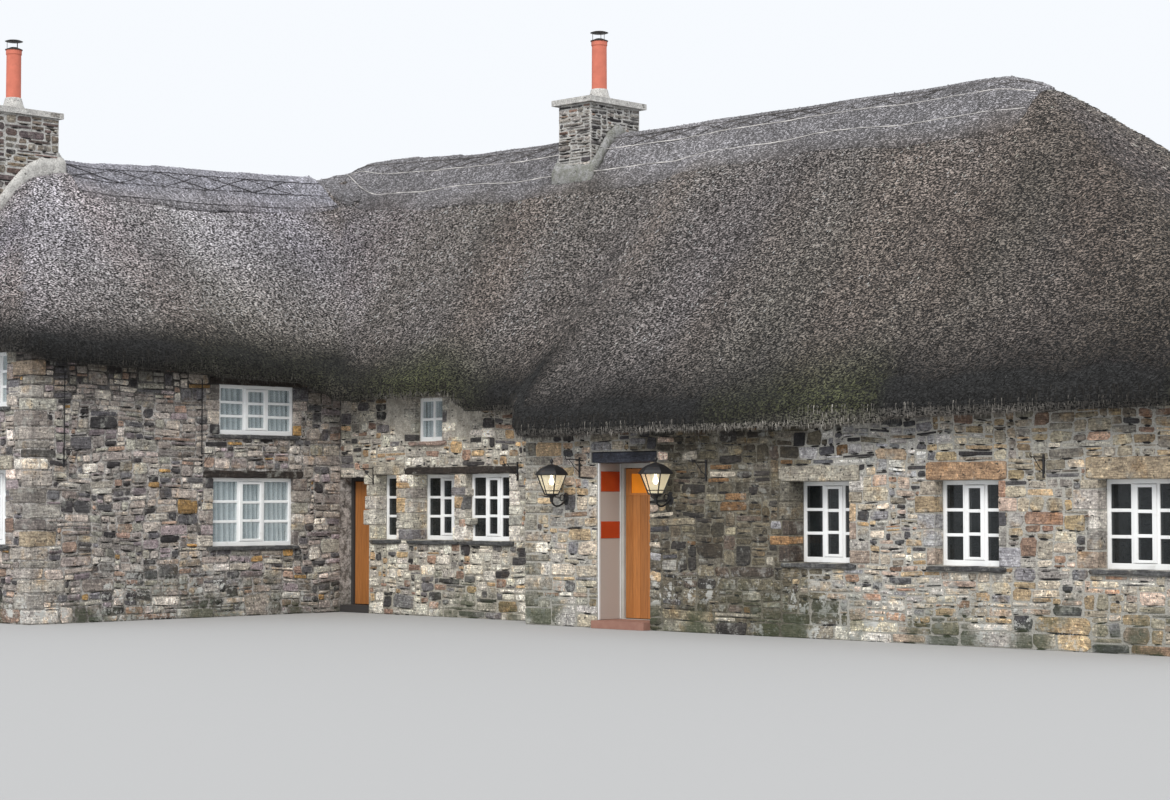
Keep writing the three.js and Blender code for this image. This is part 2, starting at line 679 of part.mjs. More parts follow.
const WALL_LINES = {
  front: { axis: 'x', face: MAIN_FRONT, inward: 1 },
  inner: { axis: 'x', face: INNER_FRONT, inward: 1 },
  wing_end: { axis: 'x', face: WING_FRONT, inward: 1 },
  rear: { axis: 'x', face: MAIN_BACK, inward: -1 },
  wing_side: { axis: 'y', face: WING_RIGHT, inward: -1 },
  wing_outer: { axis: 'y', face: WING_LEFT, inward: 1 },
}
const THROUGH = 1000

function windowHole(window) {
  const { axis, face } = WALL_LINES[window.wall]
  const span = [window.from, window.to]
  const across = [face - THROUGH, face + THROUGH]
  const [xs, ys] = axis === 'x' ? [span, across] : [across, span]
  return block(xs[0], xs[1], ys[0], ys[1], window.bottom, window.top)
}

function makeWindow(window) {
  const { axis, face, inward } = WALL_LINES[window.wall]
  const outer = face + inward * window.recess
  const inner = outer + inward * FRAME_DEPTH
  const slab = (margin, near, far) => {
    const low = Math.min(near, far)
    const high = Math.max(near, far)
    const from = window.from + margin
    const to = window.to - margin
    const [xs, ys] = axis === 'x' ? [[from, to], [low, high]] : [[low, high], [from, to]]
    return block(xs[0], xs[1], ys[0], ys[1], window.bottom + margin, window.top - margin)
  }
  const paneFace = outer + inward * (FRAME_DEPTH - PANE_THICKNESS) / 2
  const frame = slab(GAP, outer, inner).subtract(
    slab(FRAME_WIDTH, outer - BITE * inward, inner + BITE * inward))
  const pane = slab(FRAME_WIDTH - PANE_BITE, paneFace, paneFace + inward * PANE_THICKNESS)
  addPiece(window.name, frame.add(pane), material('white', 0.4))
}

// Walls

function finishWall(name, wallName, solid) {
  let body = solid
  for (const window of WINDOWS) {
    if (window.wall === wallName) body = body.subtract(windowHole(window))
  }
  addPiece(name, cutByThatch(body), material('masonry'))
}

function rectangle(from, to, bottom, top) {
  return [[from, bottom], [to, bottom], [to, top], [from, top]]
}

function makeWalls() {
  const mainInside = MAIN_FRONT + MAIN_WALL
  const door = FRONT_DOORWAY
  const lintelTop = door.top + LINTEL_HEIGHT
  const leftOfDoor = [
    [STEP_X, 0], [door.from, 0], [door.from, door.top - GAP], [door.from - LINTEL_BEARING, door.top - GAP],
    [door.from - LINTEL_BEARING, lintelTop + GAP], [door.from, lintelTop + GAP],
    [door.from, MAIN_WALL_TOP], [STEP_X, MAIN_WALL_TOP]]
  const rightOfDoor = [
    [door.to, 0], [MAIN_RIGHT, 0], [MAIN_RIGHT, MAIN_WALL_TOP], [door.to, MAIN_WALL_TOP],
    [door.to, lintelTop + GAP], [door.to + LINTEL_BEARING, lintelTop + GAP],
    [door.to + LINTEL_BEARING, door.top - GAP], [door.to, door.top - GAP]]
  const overDoor = rectangle(door.from + GAP, door.to - GAP, lintelTop + GAP, MAIN_WALL_TOP)
  finishWall('front_wall_left', 'none', elevation(leftOfDoor, 'x', MAIN_FRONT, mainInside - GAP))
  finishWall('front_wall', 'front', elevation(rightOfDoor, 'x', MAIN_FRONT, mainInside - GAP))
  finishWall('front_wall_over_door', 'none', elevation(overDoor, 'x', MAIN_FRONT, mainInside - GAP))
  addPiece('front_door_lintel', block(
    door.from - LINTEL_BEARING + GAP, door.to + LINTEL_BEARING - GAP,
    MAIN_FRONT, mainInside - GAP, door.top, lintelTop), material('oak'))

  const side = SIDE_DOORWAY
  const innerInside = INNER_FRONT + MAIN_WALL
  const inner = rectangle(side.to, INNER_OVERLAP, 0, INNER_WALL_TOP)
  const overSide = rectangle(side.from + GAP, side.to - GAP, side.top, INNER_WALL_TOP)
  finishWall('inner_wall', 'inner', elevation(inner, 'x', INNER_FRONT, innerInside))
  finishWall('inner_wall_over_door', 'none', elevation(overSide, 'x', INNER_FRONT, innerInside))

  const wingInsideY = WING_FRONT + WING_WALL
  const wingSide = rectangle(wingInsideY + GAP, innerInside, 0, WING_WALL_TOP)
  const wingOuter = rectangle(wingInsideY + GAP, MAIN_BACK, 0, WING_WALL_TOP)
  const wingEnd = rectangle(WING_LEFT, WING_RIGHT, 0, WING_WALL_TOP)
  finishWall('wing_side_wall', 'wing_side', elevation(wingSide, 'y', WING_RIGHT - WING_WALL, WING_RIGHT))
  finishWall('wing_outer_wall', 'wing_outer', elevation(wingOuter, 'y', WING_LEFT, WING_LEFT + WING_WALL))
  finishWall('wing_end_wall', 'wing_end', elevation(wingEnd, 'x', WING_FRONT, wingInsideY))

  const rearInside = MAIN_BACK - MAIN_WALL
  const endInside = MAIN_RIGHT - MAIN_WALL
  const rearLeft = WING_LEFT + WING_WALL + GAP
  const rear = [
    [rearLeft, 0], [MAIN_RIGHT, 0], [MAIN_RIGHT, REAR_WALL_TOP],
    [REAR_CHANGE_RIGHT + REAR_STEP, REAR_WALL_TOP], [REAR_CHANGE_LEFT - REAR_STEP, REAR_WING_WALL_TOP],
    [rearLeft, REAR_WING_WALL_TOP]]
  const end = rectangle(mainInside, rearInside - GAP, 0, END_WALL_TOP)
  finishWall('rear_wall', 'rear', elevation(rear, 'x', rearInside, MAIN_BACK))
  finishWall('right_end_wall', 'none', elevation(end, 'y', endInside, MAIN_RIGHT))
}

function makeFloors() {
  const left = WING_LEFT + WING_WALL + GAP
  const front = WING_FRONT + WING_WALL + GAP
  const wingInside = WING_RIGHT - WING_WALL - GAP
  const innerInside = INNER_FRONT + MAIN_WALL + GAP
  const mainInside = MAIN_FRONT + MAIN_WALL + GAP
  const back = MAIN_BACK - MAIN_WALL - GAP
  const right = MAIN_RIGHT - MAIN_WALL - GAP
  const ground = [
    [left, front], [wingInside, front], [wingInside, innerInside], [INNER_OVERLAP + GAP, innerInside],
    [INNER_OVERLAP + GAP, mainInside], [right, mainInside], [right, back], [left, back]]
  addPiece('ground_floor', raisedPlan(ground, 0, FLOOR_TOP), material('floor'))

  const upper = [
    [left, front], [wingInside, front], [wingInside, innerInside], [INNER_OVERLAP, innerInside],
    [INNER_OVERLAP, back], [left, back]]
  const breast = block(
    WING_STACK.x - STACK_WIDTH / 2 - GAP, WING_STACK.x + STACK_WIDTH / 2 + GAP,
    front - BITE, WING_STACK.y + WING_STACK.length / 2 + GAP, 0, BREAST_TOP)
  const slab = raisedPlan(upper, UPPER_FLOOR_BOTTOM, UPPER_FLOOR_TOP)
  const boards = slab.subtract(breast).subtract(stackBlock(MAIN_STACK, GAP, 0, OVER_THE_ROOF))
  addPiece('upper_floor', boards, material('oak'))
}

// Doors: a frame with its threshold, and a leaf hung on its left edge that opens inwards

function hingePin(door) {
  const frameBack = door.face + door.recess + DOOR_FRAME_DEPTH
  const lowest = FLOOR_TOP + LEAF_GAP + HINGE_FROM_END
  const highest = door.top - door.jamb - LEAF_GAP - HINGE_FROM_END
  const x = door.from + door.jamb + PIN_INTO_DOORWAY
  return { x, y: frameBack + PIN_BEHIND_FRAME, heights: [lowest, highest] }
}

function upright(x, y, radius, bottom, top) {
  return turned([[0, 0], [radius, 0], [radius, top - bottom], [0, top - bottom]], x, y, bottom, HINGE_SIDES)
}

function doorFrame(door, thresholdFrom, thresholdTo) {
  const near = door.face + door.recess
  const far = near + DOOR_FRAME_DEPTH
  const from = door.from + GAP
  const to = door.to - GAP
  const whole = block(from, to, near, far, GAP, door.top - GAP)
  const clear = block(
    door.from + door.jamb, door.to - door.jamb, near - BITE, far + BITE, FLOOR_TOP, door.top - door.jamb)
  const threshold = block(from, to, thresholdFrom, thresholdTo, 0, FLOOR_TOP)
  const pin = hingePin(door)
  let frame = whole.subtract(clear).add(threshold)
  for (const z of pin.heights) {
    frame = frame.add(block(pin.x - LUG_WIDTH, pin.x, far - BITE, pin.y + LUG_REACH, z - LUG_HEIGHT, z))
    frame = frame.add(upright(pin.x, pin.y, LUG_REACH, z - LUG_HEIGHT, z))
    frame = frame.add(upright(pin.x, pin.y, PIN_RADIUS, z - BITE, z + KNUCKLE_HEIGHT))
  }
  return frame
}

function doorLeaf(door) {
  const pin = hingePin(door)
  const leafBack = pin.y - PIN_BEHIND_LEAF
  let leaf = block(
    pin.x + PIN_TO_LEAF, door.to - door.jamb - LEAF_GAP, leafBack - LEAF_THICKNESS, leafBack,
    FLOOR_TOP + LEAF_GAP, door.top - door.jamb - LEAF_GAP)
  for (const z of pin.heights) {
    const bottom = z + GAP
    const top = z + KNUCKLE_HEIGHT - GAP
    leaf = leaf.add(block(
      pin.x, pin.x + STRAP_LENGTH, leafBack - BITE, leafBack + STRAP_THICKNESS, bottom, top))
    leaf = leaf.add(upright(pin.x, pin.y, KNUCKLE_RADIUS, bottom, top))
    leaf = leaf.subtract(upright(pin.x, pin.y, PIN_RADIUS + GAP, bottom - BITE, top + BITE))
  }
  return leaf
}

function makeDoors() {
  const front = FRONT_DOORWAY
  const frameFace = front.face + front.recess
  const mainInside = MAIN_FRONT + MAIN_WALL
  addPiece('front_door_frame', doorFrame(front, frameFace, mainInside), material('white', 0.6))
  addPiece('front_door', doorLeaf(front), material('door', 0.6))
  addPiece('front_doorstep', block(
    front.from + GAP, front.to - GAP,
    front.face - DOORSTEP_PROJECTION, frameFace - GAP, 0, DOORSTEP_TOP), material('doorstep'))
  const side = SIDE_DOORWAY
  addPiece('side_door_frame', doorFrame(side, side.face, INNER_FRONT + MAIN_WALL), material('oak'))
  addPiece('side_door', doorLeaf(side), material('door', 0.6))
}

// A tapered lantern with a domed roof, on an upswept arm from a wall plate
function makeLantern({ name, x }) {
  const face = MAIN_FRONT - GAP
  const y = MAIN_FRONT - LANTERN_REACH
  const z = LANTERN_PLATE_Z
  const body = turned([[0, 45], [62, 45], [88, 60], [186, 300], [0, 300]], x, y, z, 6)
  const roof = turned(
    [[0, 292], [213, 292], [213, 310], [168, 362], [84, 412], [32, 426], [0, 426]], x, y, z, 6)
  const finial = turned([[0, 420], [12, 420], [10, 446], [24, 468], [18, 488], [0, 505]], x, y, z, 8)
  const stem = turned([[0, -45], [20, -45], [20, 20], [34, 38], [34, 55], [0, 55]], x, y, z, 8)
  const path = new THREE.CatmullRomCurve3([
    new THREE.Vector3(x, face - 8, z), new THREE.Vector3(x, face - 95, z - 60),
    new THREE.Vector3(x, y + 85, z - 92), new THREE.Vector3(x, y, z - 20)])
  const round = new THREE.Shape().absarc(0, 0, 14, 0, 2 * Math.PI)
  const arm = toSolid(new THREE.ExtrudeGeometry(
    round, { steps: 10, curveSegments: 6, extrudePath: path, bevelEnabled: false }))
  const plate = block(x - 45, x + 45, face - 20, face, z - 90, z + 90)
  const lantern = [roof, finial, stem, arm, plate].reduce((sum, piece) => sum.add(piece), body)
  addPiece(name, lantern, material('iron', 0.5, 0.5))
}

makeWalls()
makeFloors()
WINDOWS.forEach(makeWindow)
makeDoors()
makeStack('main_chimney', MAIN_STACK)
makeStack('wing_chimney', WING_STACK, WING_FRONT + WING_WALL)
makeFillet('main_chimney_fillet', MAIN_STACK)
makeFillet('wing_chimney_fillet', WING_STACK)
makePot('main_chimney', MAIN_STACK)
makePot('wing_chimney', WING_STACK)
makeRidgeCaps()
letIn.push(
  stackBlock(MAIN_STACK, GAP, UNDER_THE_ROOF, OVER_THE_ROOF),
  stackBlock(WING_STACK, GAP, BREAST_TOP, OVER_THE_ROOF))
for (const [name, slope] of Object.entries(thatch)) {
  addPiece(name, letIn.reduce((left, cutter) => left.subtract(cutter), slope), material('thatch'))
}
LANTERNS.forEach(makeLantern)

export default cottage
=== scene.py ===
import math

import bpy
import numpy as np
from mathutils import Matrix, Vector
from mathutils.bvhtree import BVHTree


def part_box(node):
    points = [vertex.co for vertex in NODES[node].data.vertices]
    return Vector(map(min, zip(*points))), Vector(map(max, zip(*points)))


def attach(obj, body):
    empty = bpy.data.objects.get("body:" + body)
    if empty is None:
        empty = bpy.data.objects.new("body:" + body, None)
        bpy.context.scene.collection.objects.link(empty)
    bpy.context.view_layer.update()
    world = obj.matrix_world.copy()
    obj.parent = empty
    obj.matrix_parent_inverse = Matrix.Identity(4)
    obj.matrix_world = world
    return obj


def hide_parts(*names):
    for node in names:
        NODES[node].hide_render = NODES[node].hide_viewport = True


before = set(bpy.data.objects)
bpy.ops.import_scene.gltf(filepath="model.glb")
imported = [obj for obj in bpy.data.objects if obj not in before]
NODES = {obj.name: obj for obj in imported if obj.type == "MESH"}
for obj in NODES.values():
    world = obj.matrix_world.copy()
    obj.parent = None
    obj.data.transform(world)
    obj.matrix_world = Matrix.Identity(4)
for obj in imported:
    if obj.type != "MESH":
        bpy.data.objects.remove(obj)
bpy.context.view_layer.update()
SEED = 1187
CORNER_SEED_STEP = 31
STACK_SEED = 100
STRAW_SEED = 7
RIDGE_SEED = 17
LINING_SEED = 3
BRACKET_SEED = 5


def seeded(number):
    return np.random.default_rng(SEED + number)


# Plan lines of the house

MAIN_RIGHT = 10.44
MAIN_FRONT = -3.0
MAIN_BACK = 3.0
STEP_X = 0.0
INNER_FRONT = -2.4
WING_LEFT = -9.66
WING_RIGHT = -4.36
WING_FRONT = -7.51
WING_MIDDLE = (WING_LEFT + WING_RIGHT) / 2
FOUR_SIDES = ((0, -1), (1, 0), (0, 1), (-1, 0))
FULL_TURN = 2 * math.pi

# Camera, lights and stage

EYE = Vector((21.76, -24.42, 1.54))
HEADING = Vector((-0.6952, 0.7188, 0.0))
PITCH = math.radians(2.46)
LENS = 73.66
SENSOR = 36.0
FAR = 400
STUDIO_TONE = (0.93, 0.96, 1.0, 1)
SUN_TONE = (1.0, 0.97, 0.92)
SUN_ENERGY = 2.2
SUN_WIDTH = math.radians(35)
SUN_AIM = Vector((-0.42, 0.62, -0.66))
FLOOR_HALF = 120
FLOOR_Z = -0.002
FLOOR_TONE = (0.42, 0.42, 0.42)


def make_camera():
    data = bpy.data.cameras.new("camera")
    data.lens = LENS
    data.sensor_width = SENSOR
    data.clip_end = FAR
    camera = bpy.data.objects.new("camera", data)
    bpy.context.scene.collection.objects.link(camera)
    aim = HEADING * math.cos(PITCH) + Vector((0, 0, math.sin(PITCH)))
    camera.location = EYE
    camera.rotation_mode = "QUATERNION"
    camera.rotation_quaternion = aim.to_track_quat("-Z", "Y")
    bpy.context.scene.camera = camera


def make_lights():
    world = bpy.data.worlds.new("studio")
    bpy.context.scene.world = world
    world.use_nodes = True
    background = world.node_tree.nodes["Background"]
    background.inputs["Color"].default_value = STUDIO_TONE
    background.inputs["Strength"].default_value = 1.0
    sun = bpy.data.lights.new("soft_sun", "SUN")
    sun.energy = SUN_ENERGY
    sun.angle = SUN_WIDTH
    sun.color = SUN_TONE
    lamp = bpy.data.objects.new("soft_sun", sun)
    lamp.rotation_euler = SUN_AIM.to_track_quat("-Z", "Y").to_euler()
    bpy.context.scene.collection.objects.link(lamp)


def set_view_transform():
    bpy.context.scene.view_settings.view_transform = "Standard"


def make_floor():
    mesh = bpy.data.meshes.new("floor")
    ends = (-FLOOR_HALF, FLOOR_HALF)
    mesh.from_pydata([(x, y, 0) for y in ends for x in ends], [], [(0, 1, 3, 2)])
    floor = bpy.data.objects.new("floor", mesh)
    floor.location.z = FLOOR_Z
    bpy.context.scene.collection.objects.link(floor)
    shader = Shader("floor")
    shader.surface(color=FLOOR_TONE, roughness=0.95)
    mesh.materials.append(shader.material)


# Materials


class Shader:
    """A node material, with short calls for the nodes that it uses."""

    def __init__(self, name):
        self.material = bpy.data.materials.new(name)
        self.material.use_nodes = True
        self.tree = self.material.node_tree
        self.principled = self.tree.nodes["Principled BSDF"]
        self.position = self.make("ShaderNodeTexCoord").outputs["Object"]

    def make(self, kind, **settings):
        node = self.tree.nodes.new(kind)
        for key, value in settings.items():
            setattr(node, key, value)
        return node

    def feed(self, socket, value):
        if isinstance(value, bpy.types.NodeSocket):
            self.tree.links.new(value, socket)
        elif hasattr(value, "__len__") and socket.type == "RGBA":
            socket.default_value = (*value[:3], 1)
        else:
            socket.default_value = value

    def stretched(self, scale):
        node = self.make("ShaderNodeMapping")
        self.feed(node.inputs["Vector"], self.position)
        node.inputs["Scale"].default_value = scale
        return node.outputs["Vector"]

    def noise(self, scale, detail=3, vector=None, roughness=0.55):
        node = self.make("ShaderNodeTexNoise")
        self.feed(node.inputs["Vector"], vector or self.position)
        node.inputs["Scale"].default_value = scale
        node.inputs["Detail"].default_value = detail
        node.inputs["Roughness"].default_value = roughness
        return node.outputs["Fac"]

    def ramp(self, source, low, high, start=0.0, end=1.0):
        node = self.make("ShaderNodeMapRange")
        self.feed(node.inputs["Value"], source)
        for key, value in (("From Min", low), ("From Max", high), ("To Min", start), ("To Max", end)):
            node.inputs[key].default_value = value
        return node.outputs["Result"]

    def mix(self, share, a, b, blend="MIX"):
        node = self.make("ShaderNodeMix", data_type="RGBA", blend_type=blend)
        self.feed(node.inputs["Factor"], share)
        sockets = [s for s in node.inputs if s.type == "RGBA"]
        self.feed(sockets[0], a)
        self.feed(sockets[1], b)
        return [s for s in node.outputs if s.type == "RGBA"][0]

    def times(self, color, share, low, high):
        """The colour multiplied by a blend of two shades."""
        return self.mix(1.0, color, self.mix(share, low, high), "MULTIPLY")

    def math(self, operation, a, b):
        node = self.make("ShaderNodeMath", operation=operation)
        self.feed(node.inputs[0], a)
        self.feed(node.inputs[1], b)
        return node.outputs[0]

    def streaks(self, scale):
        return self.noise(1.0, 5, self.stretched(scale), 0.65)

    def height(self, axis="Z"):
        node = self.make("ShaderNodeSeparateXYZ")
        self.feed(node.inputs[0], self.position)
        return node.outputs[axis]

    def tone(self):
        return self.make("ShaderNodeVertexColor", layer_name="tone").outputs["Color"]

    def bump(self, source, distance):
        node = self.make("ShaderNodeBump")
        self.feed(node.inputs["Height"], source)
        node.inputs["Distance"].default_value = distance
        self.feed(self.principled.inputs["Normal"], node.outputs["Normal"])

    def surface(self, color, roughness=0.8, metallic=0.0, **more):
        self.feed(self.principled.inputs["Base Color"], color)
        self.feed(self.principled.inputs["Roughness"], roughness)
        self.principled.inputs["Metallic"].default_value = metallic
        for key, value in more.items():
            self.feed(self.principled.inputs[key.replace("_", " ")], value)
        return self.material


NO_CHANGE = (1, 1, 1)
# Near-black for the mortar just under the eaves: painted shade.
EAVES_SHADE_TONE = (0.035, 0.032, 0.03)
# Near-black for pits in the stone and holes in the mortar: painted shadow in the hollows.
PIT_SHADOW_TONE = (0.03, 0.028, 0.026)
LICHEN_TONE = (0.45, 0.45, 0.41)
BLOOM_TONE = (0.6, 0.6, 0.57)
MOSS_TONE = (0.045, 0.058, 0.025)


def stone_material(name, lichen=0.5, specks=0.35):
    """Weathered stone: grain, beds, mottling, rust, soot, lichen and small near-black pit shadows (painted
    shadow in the hollows), with damp moss near the ground.
    """
    s = Shader(name)
    grain = s.ramp(s.noise(42, 5, roughness=0.7), 0.3, 0.7)
    beds = s.ramp(s.noise(1.0, 4, s.stretched((7, 7, 60)), 0.6), 0.3, 0.7)
    mottle = s.ramp(s.noise(13, 4, roughness=0.7), 0.35, 0.65)
    rust = s.ramp(s.noise(3.1, 5, roughness=0.65), 0.56, 0.68, 0.0, 0.8)
    soot = s.ramp(s.noise(1.7, 5, roughness=0.65), 0.5, 0.66, 0.0, 0.7)
    color = s.times(s.tone(), grain, (0.48, 0.47, 0.46), (1.52, 1.52, 1.52))
    color = s.times(color, beds, (0.55, 0.53, 0.53), (1.32, 1.31, 1.29))
    color = s.times(color, mottle, (0.64, 0.63, 0.64), (1.36, 1.35, 1.32))
    color = s.times(color, rust, NO_CHANGE, (1.1, 0.9, 0.66))
    color = s.times(color, soot, NO_CHANGE, (0.55, 0.55, 0.58))
    pit_shadows = s.ramp(s.noise(21, 3, roughness=0.6), 0.38, 0.31, 0.0, 0.9)
    color = s.mix(pit_shadows, color, PIT_SHADOW_TONE)
    patches = s.ramp(s.noise(5.5, 7, roughness=0.7), 0.56, 0.66, 0.0, lichen)
    color = s.mix(patches, color, LICHEN_TONE)
    more_low_down = s.ramp(s.height(), 1.1, 0.2, specks, specks + 0.35)
    spots = s.math("MULTIPLY", s.ramp(s.noise(29, 3), 0.58, 0.66), more_low_down)
    color = s.times(color, spots, NO_CHANGE, (2.7, 2.7, 2.6))
    bloom = s.ramp(s.noise(7, 7, roughness=0.78), 0.52, 0.56)
    bloom = s.math("MULTIPLY", bloom, s.ramp(s.height(), 0.85, 0.45))
    bloom = s.math("MULTIPLY", bloom, s.ramp(s.noise(0.55, 2), 0.49, 0.54))
    color = s.mix(bloom, color, BLOOM_TONE)
    low = s.ramp(s.height(), 0.75, 0.15, 0.0, 0.8)
    damp = s.math("MULTIPLY", low, s.ramp(s.noise(1.3, 5), 0.45, 0.58))
    color = s.mix(damp, color, MOSS_TONE)
    s.bump(s.math("ADD", grain, beds), 0.008)
    return s.surface(color, roughness=0.92)


NO_EAVES_SHADE = (9.0, 10.0)


def mortar_material(name, light, dark, eaves_shade=NO_EAVES_SHADE, bright_from=None, bright_to=None):
    """Sandy, holed mortar: bright on a stretch of the wall, darkened between two heights as painted shade
    under the eaves, mossy low down.
    """
    s = Shader(name)
    color = s.mix(s.ramp(s.noise(8.5, 5, roughness=0.75), 0.42, 0.6), dark, light)
    if bright_from is not None:
        wander = s.math("ADD", s.height("X"), s.ramp(s.noise(1.6, 3), 0.3, 0.7, -0.45, 0.45))
        share = s.math("MAXIMUM", s.ramp(wander, *bright_from), s.ramp(wander, *bright_to))
        color = s.mix(share, color, s.mix(s.noise(4, 4), (0.47, 0.45, 0.4), (0.62, 0.605, 0.565)))
    color = s.mix(s.ramp(s.height(), *eaves_shade, 0.0, 0.85), color, EAVES_SHADE_TONE)
    sand = s.ramp(s.noise(55, 5, roughness=0.75), 0.3, 0.7)
    color = s.times(color, sand, (0.5, 0.49, 0.48), (1.35, 1.35, 1.35))
    # Holes in the mortar darkened: painted shadow.
    holes = s.ramp(s.noise(1.0, 3, s.stretched((13, 13, 36))), 0.37, 0.31, 0.0, 0.85)
    color = s.mix(holes, color, PIT_SHADOW_TONE)
    low = s.ramp(s.height(), 0.7, 0.0, 0.0, 0.6)
    color = s.mix(s.math("MULTIPLY", low, s.noise(2, 4)), color, (0.06, 0.07, 0.035))
    s.bump(sand, 0.01)
    return s.surface(color, roughness=0.95)


STRAW_ENDS = (60, 28)


def thatch_material(name, dark=0.04, light=2.75):
    """Weathered straw: butts and grain that run down the slope, in tufts of lighter and darker tone; the
    butts' dark and light is partly painted shadow under the straw ends and painted highlight on them.
    """
    s = Shader(name)
    across = s.make("ShaderNodeAttribute", attribute_name="across").outputs["Fac"]
    grain = s.mix(across, s.streaks((46, 5, 5)), s.streaks((5, 46, 5)))
    short, long = STRAW_ENDS
    scales = (long, short, short), (short, long, short)
    ends = [s.noise(1.0, 3, s.stretched(scale), 0.7) for scale in scales]
    butt_light_and_shade = s.ramp(s.mix(across, *ends), 0.45, 0.55)
    tufts = s.ramp(s.noise(8, 4, roughness=0.65), 0.35, 0.65)
    # Dark and light of the butts: tone of the straw ends, with painted shadow beneath them and painted
    # highlight on them.
    color = s.times(s.tone(), butt_light_and_shade, (dark, dark, dark), (light, light, light))
    color = s.times(color, tufts, (0.72, 0.71, 0.7), (1.28, 1.28, 1.29))
    color = s.times(color, grain, (0.62, 0.62, 0.62), (1.38, 1.38, 1.38))
    s.bump(butt_light_and_shade, 0.025)
    return s.surface(color, roughness=0.95)


def straw_material(name):
    s = Shader(name)
    color = s.times(s.tone(), s.noise(30, 2), (0.75, 0.75, 0.75), (1.25, 1.25, 1.25))
    return s.surface(color, roughness=0.9)


def paint_material(name):
    s = Shader(name)
    dirt = s.ramp(s.noise(7, 6), 0.58, 0.8, 0.0, 0.45)
    color = s.mix(dirt, s.tone(), (0.42, 0.4, 0.34))
    s.bump(s.noise(60, 3), 0.0006)
    return s.surface(color, roughness=0.45)


def wood_material(name, roughness, grain=(60, 60, 4), depth=0.002):
    s = Shader(name)
    lines = s.streaks(grain)
    color = s.times(s.tone(), lines, (0.45, 0.42, 0.4), (1.5, 1.5, 1.5))
    s.bump(lines, depth)
    return s.surface(color, roughness=roughness)


def iron_material(name):
    s = Shader(name)
    rust = s.ramp(s.noise(18, 5), 0.58, 0.75, 0.0, 0.6)
    color = s.mix(rust, s.tone(), (0.09, 0.045, 0.025))
    s.bump(s.noise(90, 4), 0.0008)
    return s.surface(color, roughness=0.5, metallic=0.35)


def clay_material(name):
    s = Shader(name)
    color = s.times(s.tone(), s.noise(8, 5), (0.72, 0.7, 0.7), (1.25, 1.25, 1.25))
    soot = s.ramp(s.noise(5, 5), 0.6, 0.8, 0.0, 0.4)
    color = s.mix(soot, color, (0.12, 0.07, 0.05))
    s.bump(s.noise(70, 3), 0.001)
    return s.surface(color, roughness=0.8)


def glass_material(name, color, alpha, roughness=0.06, glow=0.0):
    s = Shader(name)
    cloud = s.mix(s.noise(3, 4), tuple(c * 0.7 for c in color), tuple(min(c * 1.3, 1) for c in color))
    s.bump(s.noise(5, 2), 0.002)
    more = {"Alpha": alpha}
    if glow:
        more["Emission_Color"] = cloud
        more["Emission_Strength"] = glow
    return s.surface(cloud, roughness=roughness, **more)


def net_material(name):
    s = Shader(name)
    weave = s.ramp(s.noise(1.0, 2, s.stretched((260, 260, 60))), 0.3, 0.7, 0.75, 1.0)
    color = s.times(s.tone(), s.noise(14, 3), (0.86, 0.92, 0.95), (0.98, 1.0, 1.0))
    return s.surface(color, roughness=0.95, Alpha=weave)


def plain_material(name, low, high, scale, roughness, grain=None):
    s = Shader(name)
    source = s.streaks(grain) if grain else s.noise(scale, 6)
    s.bump(source, 0.004)
    return s.surface(s.mix(source, low, high), roughness=roughness)


STONE = stone_material("rubble_stone")
STONE_PLAIN = stone_material("dark_slate", 0.1, 0.0)
THATCH = thatch_material("old_thatch")
# Softer butt contrast on the ridge: partly painted shadow and highlight of the straw ends.
RIDGE_THATCH = thatch_material("ridge_thatch", 0.42, 1.65)
STRAW = straw_material("straw")
MORTAR = mortar_material("lime_mortar", (0.68, 0.645, 0.57), (0.42, 0.385, 0.33))
# Dark between the door and the first window: partly the mortar's own tone, partly painted shade of the
# climbing plants there.
FRONT_MORTAR = mortar_material(
    "front_mortar", (0.28, 0.258, 0.205), (0.12, 0.108, 0.085),
    bright_from=(4.35, 4.75), bright_to=(2.1, 1.5))
# Wing mortar darkened from 2.75 m to 3.15 m: painted shade under the wing eaves.
DARK_MORTAR = mortar_material("earth_mortar", (0.68, 0.65, 0.62), (0.17, 0.155, 0.14), (2.75, 3.15))
GREY_MORTAR = mortar_material("grey_mortar", (0.42, 0.42, 0.42), (0.25, 0.255, 0.225))
PALE_MORTAR = mortar_material("pale_mortar", (0.74, 0.73, 0.7), (0.54, 0.53, 0.51))
PAINT = paint_material("white_paint")
WORN_PAINT = plain_material("worn_white_paint", (0.34, 0.33, 0.3), (0.62, 0.62, 0.58), 6, 0.6)
DOOR_WOOD = wood_material("oiled_boards", 0.5)
WORN_WOOD = wood_material("hazel", 0.85, (30, 30, 30), 0.003)
DARK_TIMBER = plain_material("dark_timber", (0.018, 0.018, 0.022), (0.06, 0.052, 0.046), 6, 0.85, (6, 60, 60))
STEP_STONE = plain_material("doorstep_stone", (0.22, 0.1, 0.075), (0.36, 0.2, 0.15), 9, 0.85)
FLAGS = plain_material("floor_flags", (0.13, 0.12, 0.11), (0.24, 0.22, 0.19), 3, 0.8)
BOARDS = plain_material("floor_boards", (0.12, 0.07, 0.04), (0.24, 0.15, 0.09), 3, 0.6, (3, 40, 40))
IRON = iron_material("black_iron")
CLAY = clay_material("terracotta")
# Near-black and half opaque: painted shade of the dark rooms behind the panes.
ROOM_SHADED_GLASS = glass_material("window_glass", (0.02, 0.024, 0.026), 0.55)
CLEAR_GLASS = glass_material("clear_glass", (0.5, 0.62, 0.66), 0.2)
# The door pane glows a little though it is no lamp: painted light coming through the glass.
GLOWING_AMBER = glass_material("glowing_amber_glass", (0.75, 0.25, 0.02), 0.9, 0.15, 0.25)
RED_GLASS = glass_material("red_glass", (0.46, 0.055, 0.014), 1.0, 0.2)
LAMP_GLASS = glass_material("lamp_glass", (1.0, 0.74, 0.52), 0.34, 0.15, 0.6)
LAMP_BULB = glass_material("lamp_bulb", (1.0, 0.82, 0.52), 1.0, 0.3, 7.0)
NET = net_material("net_curtain")


# Meshes gathered from arrays


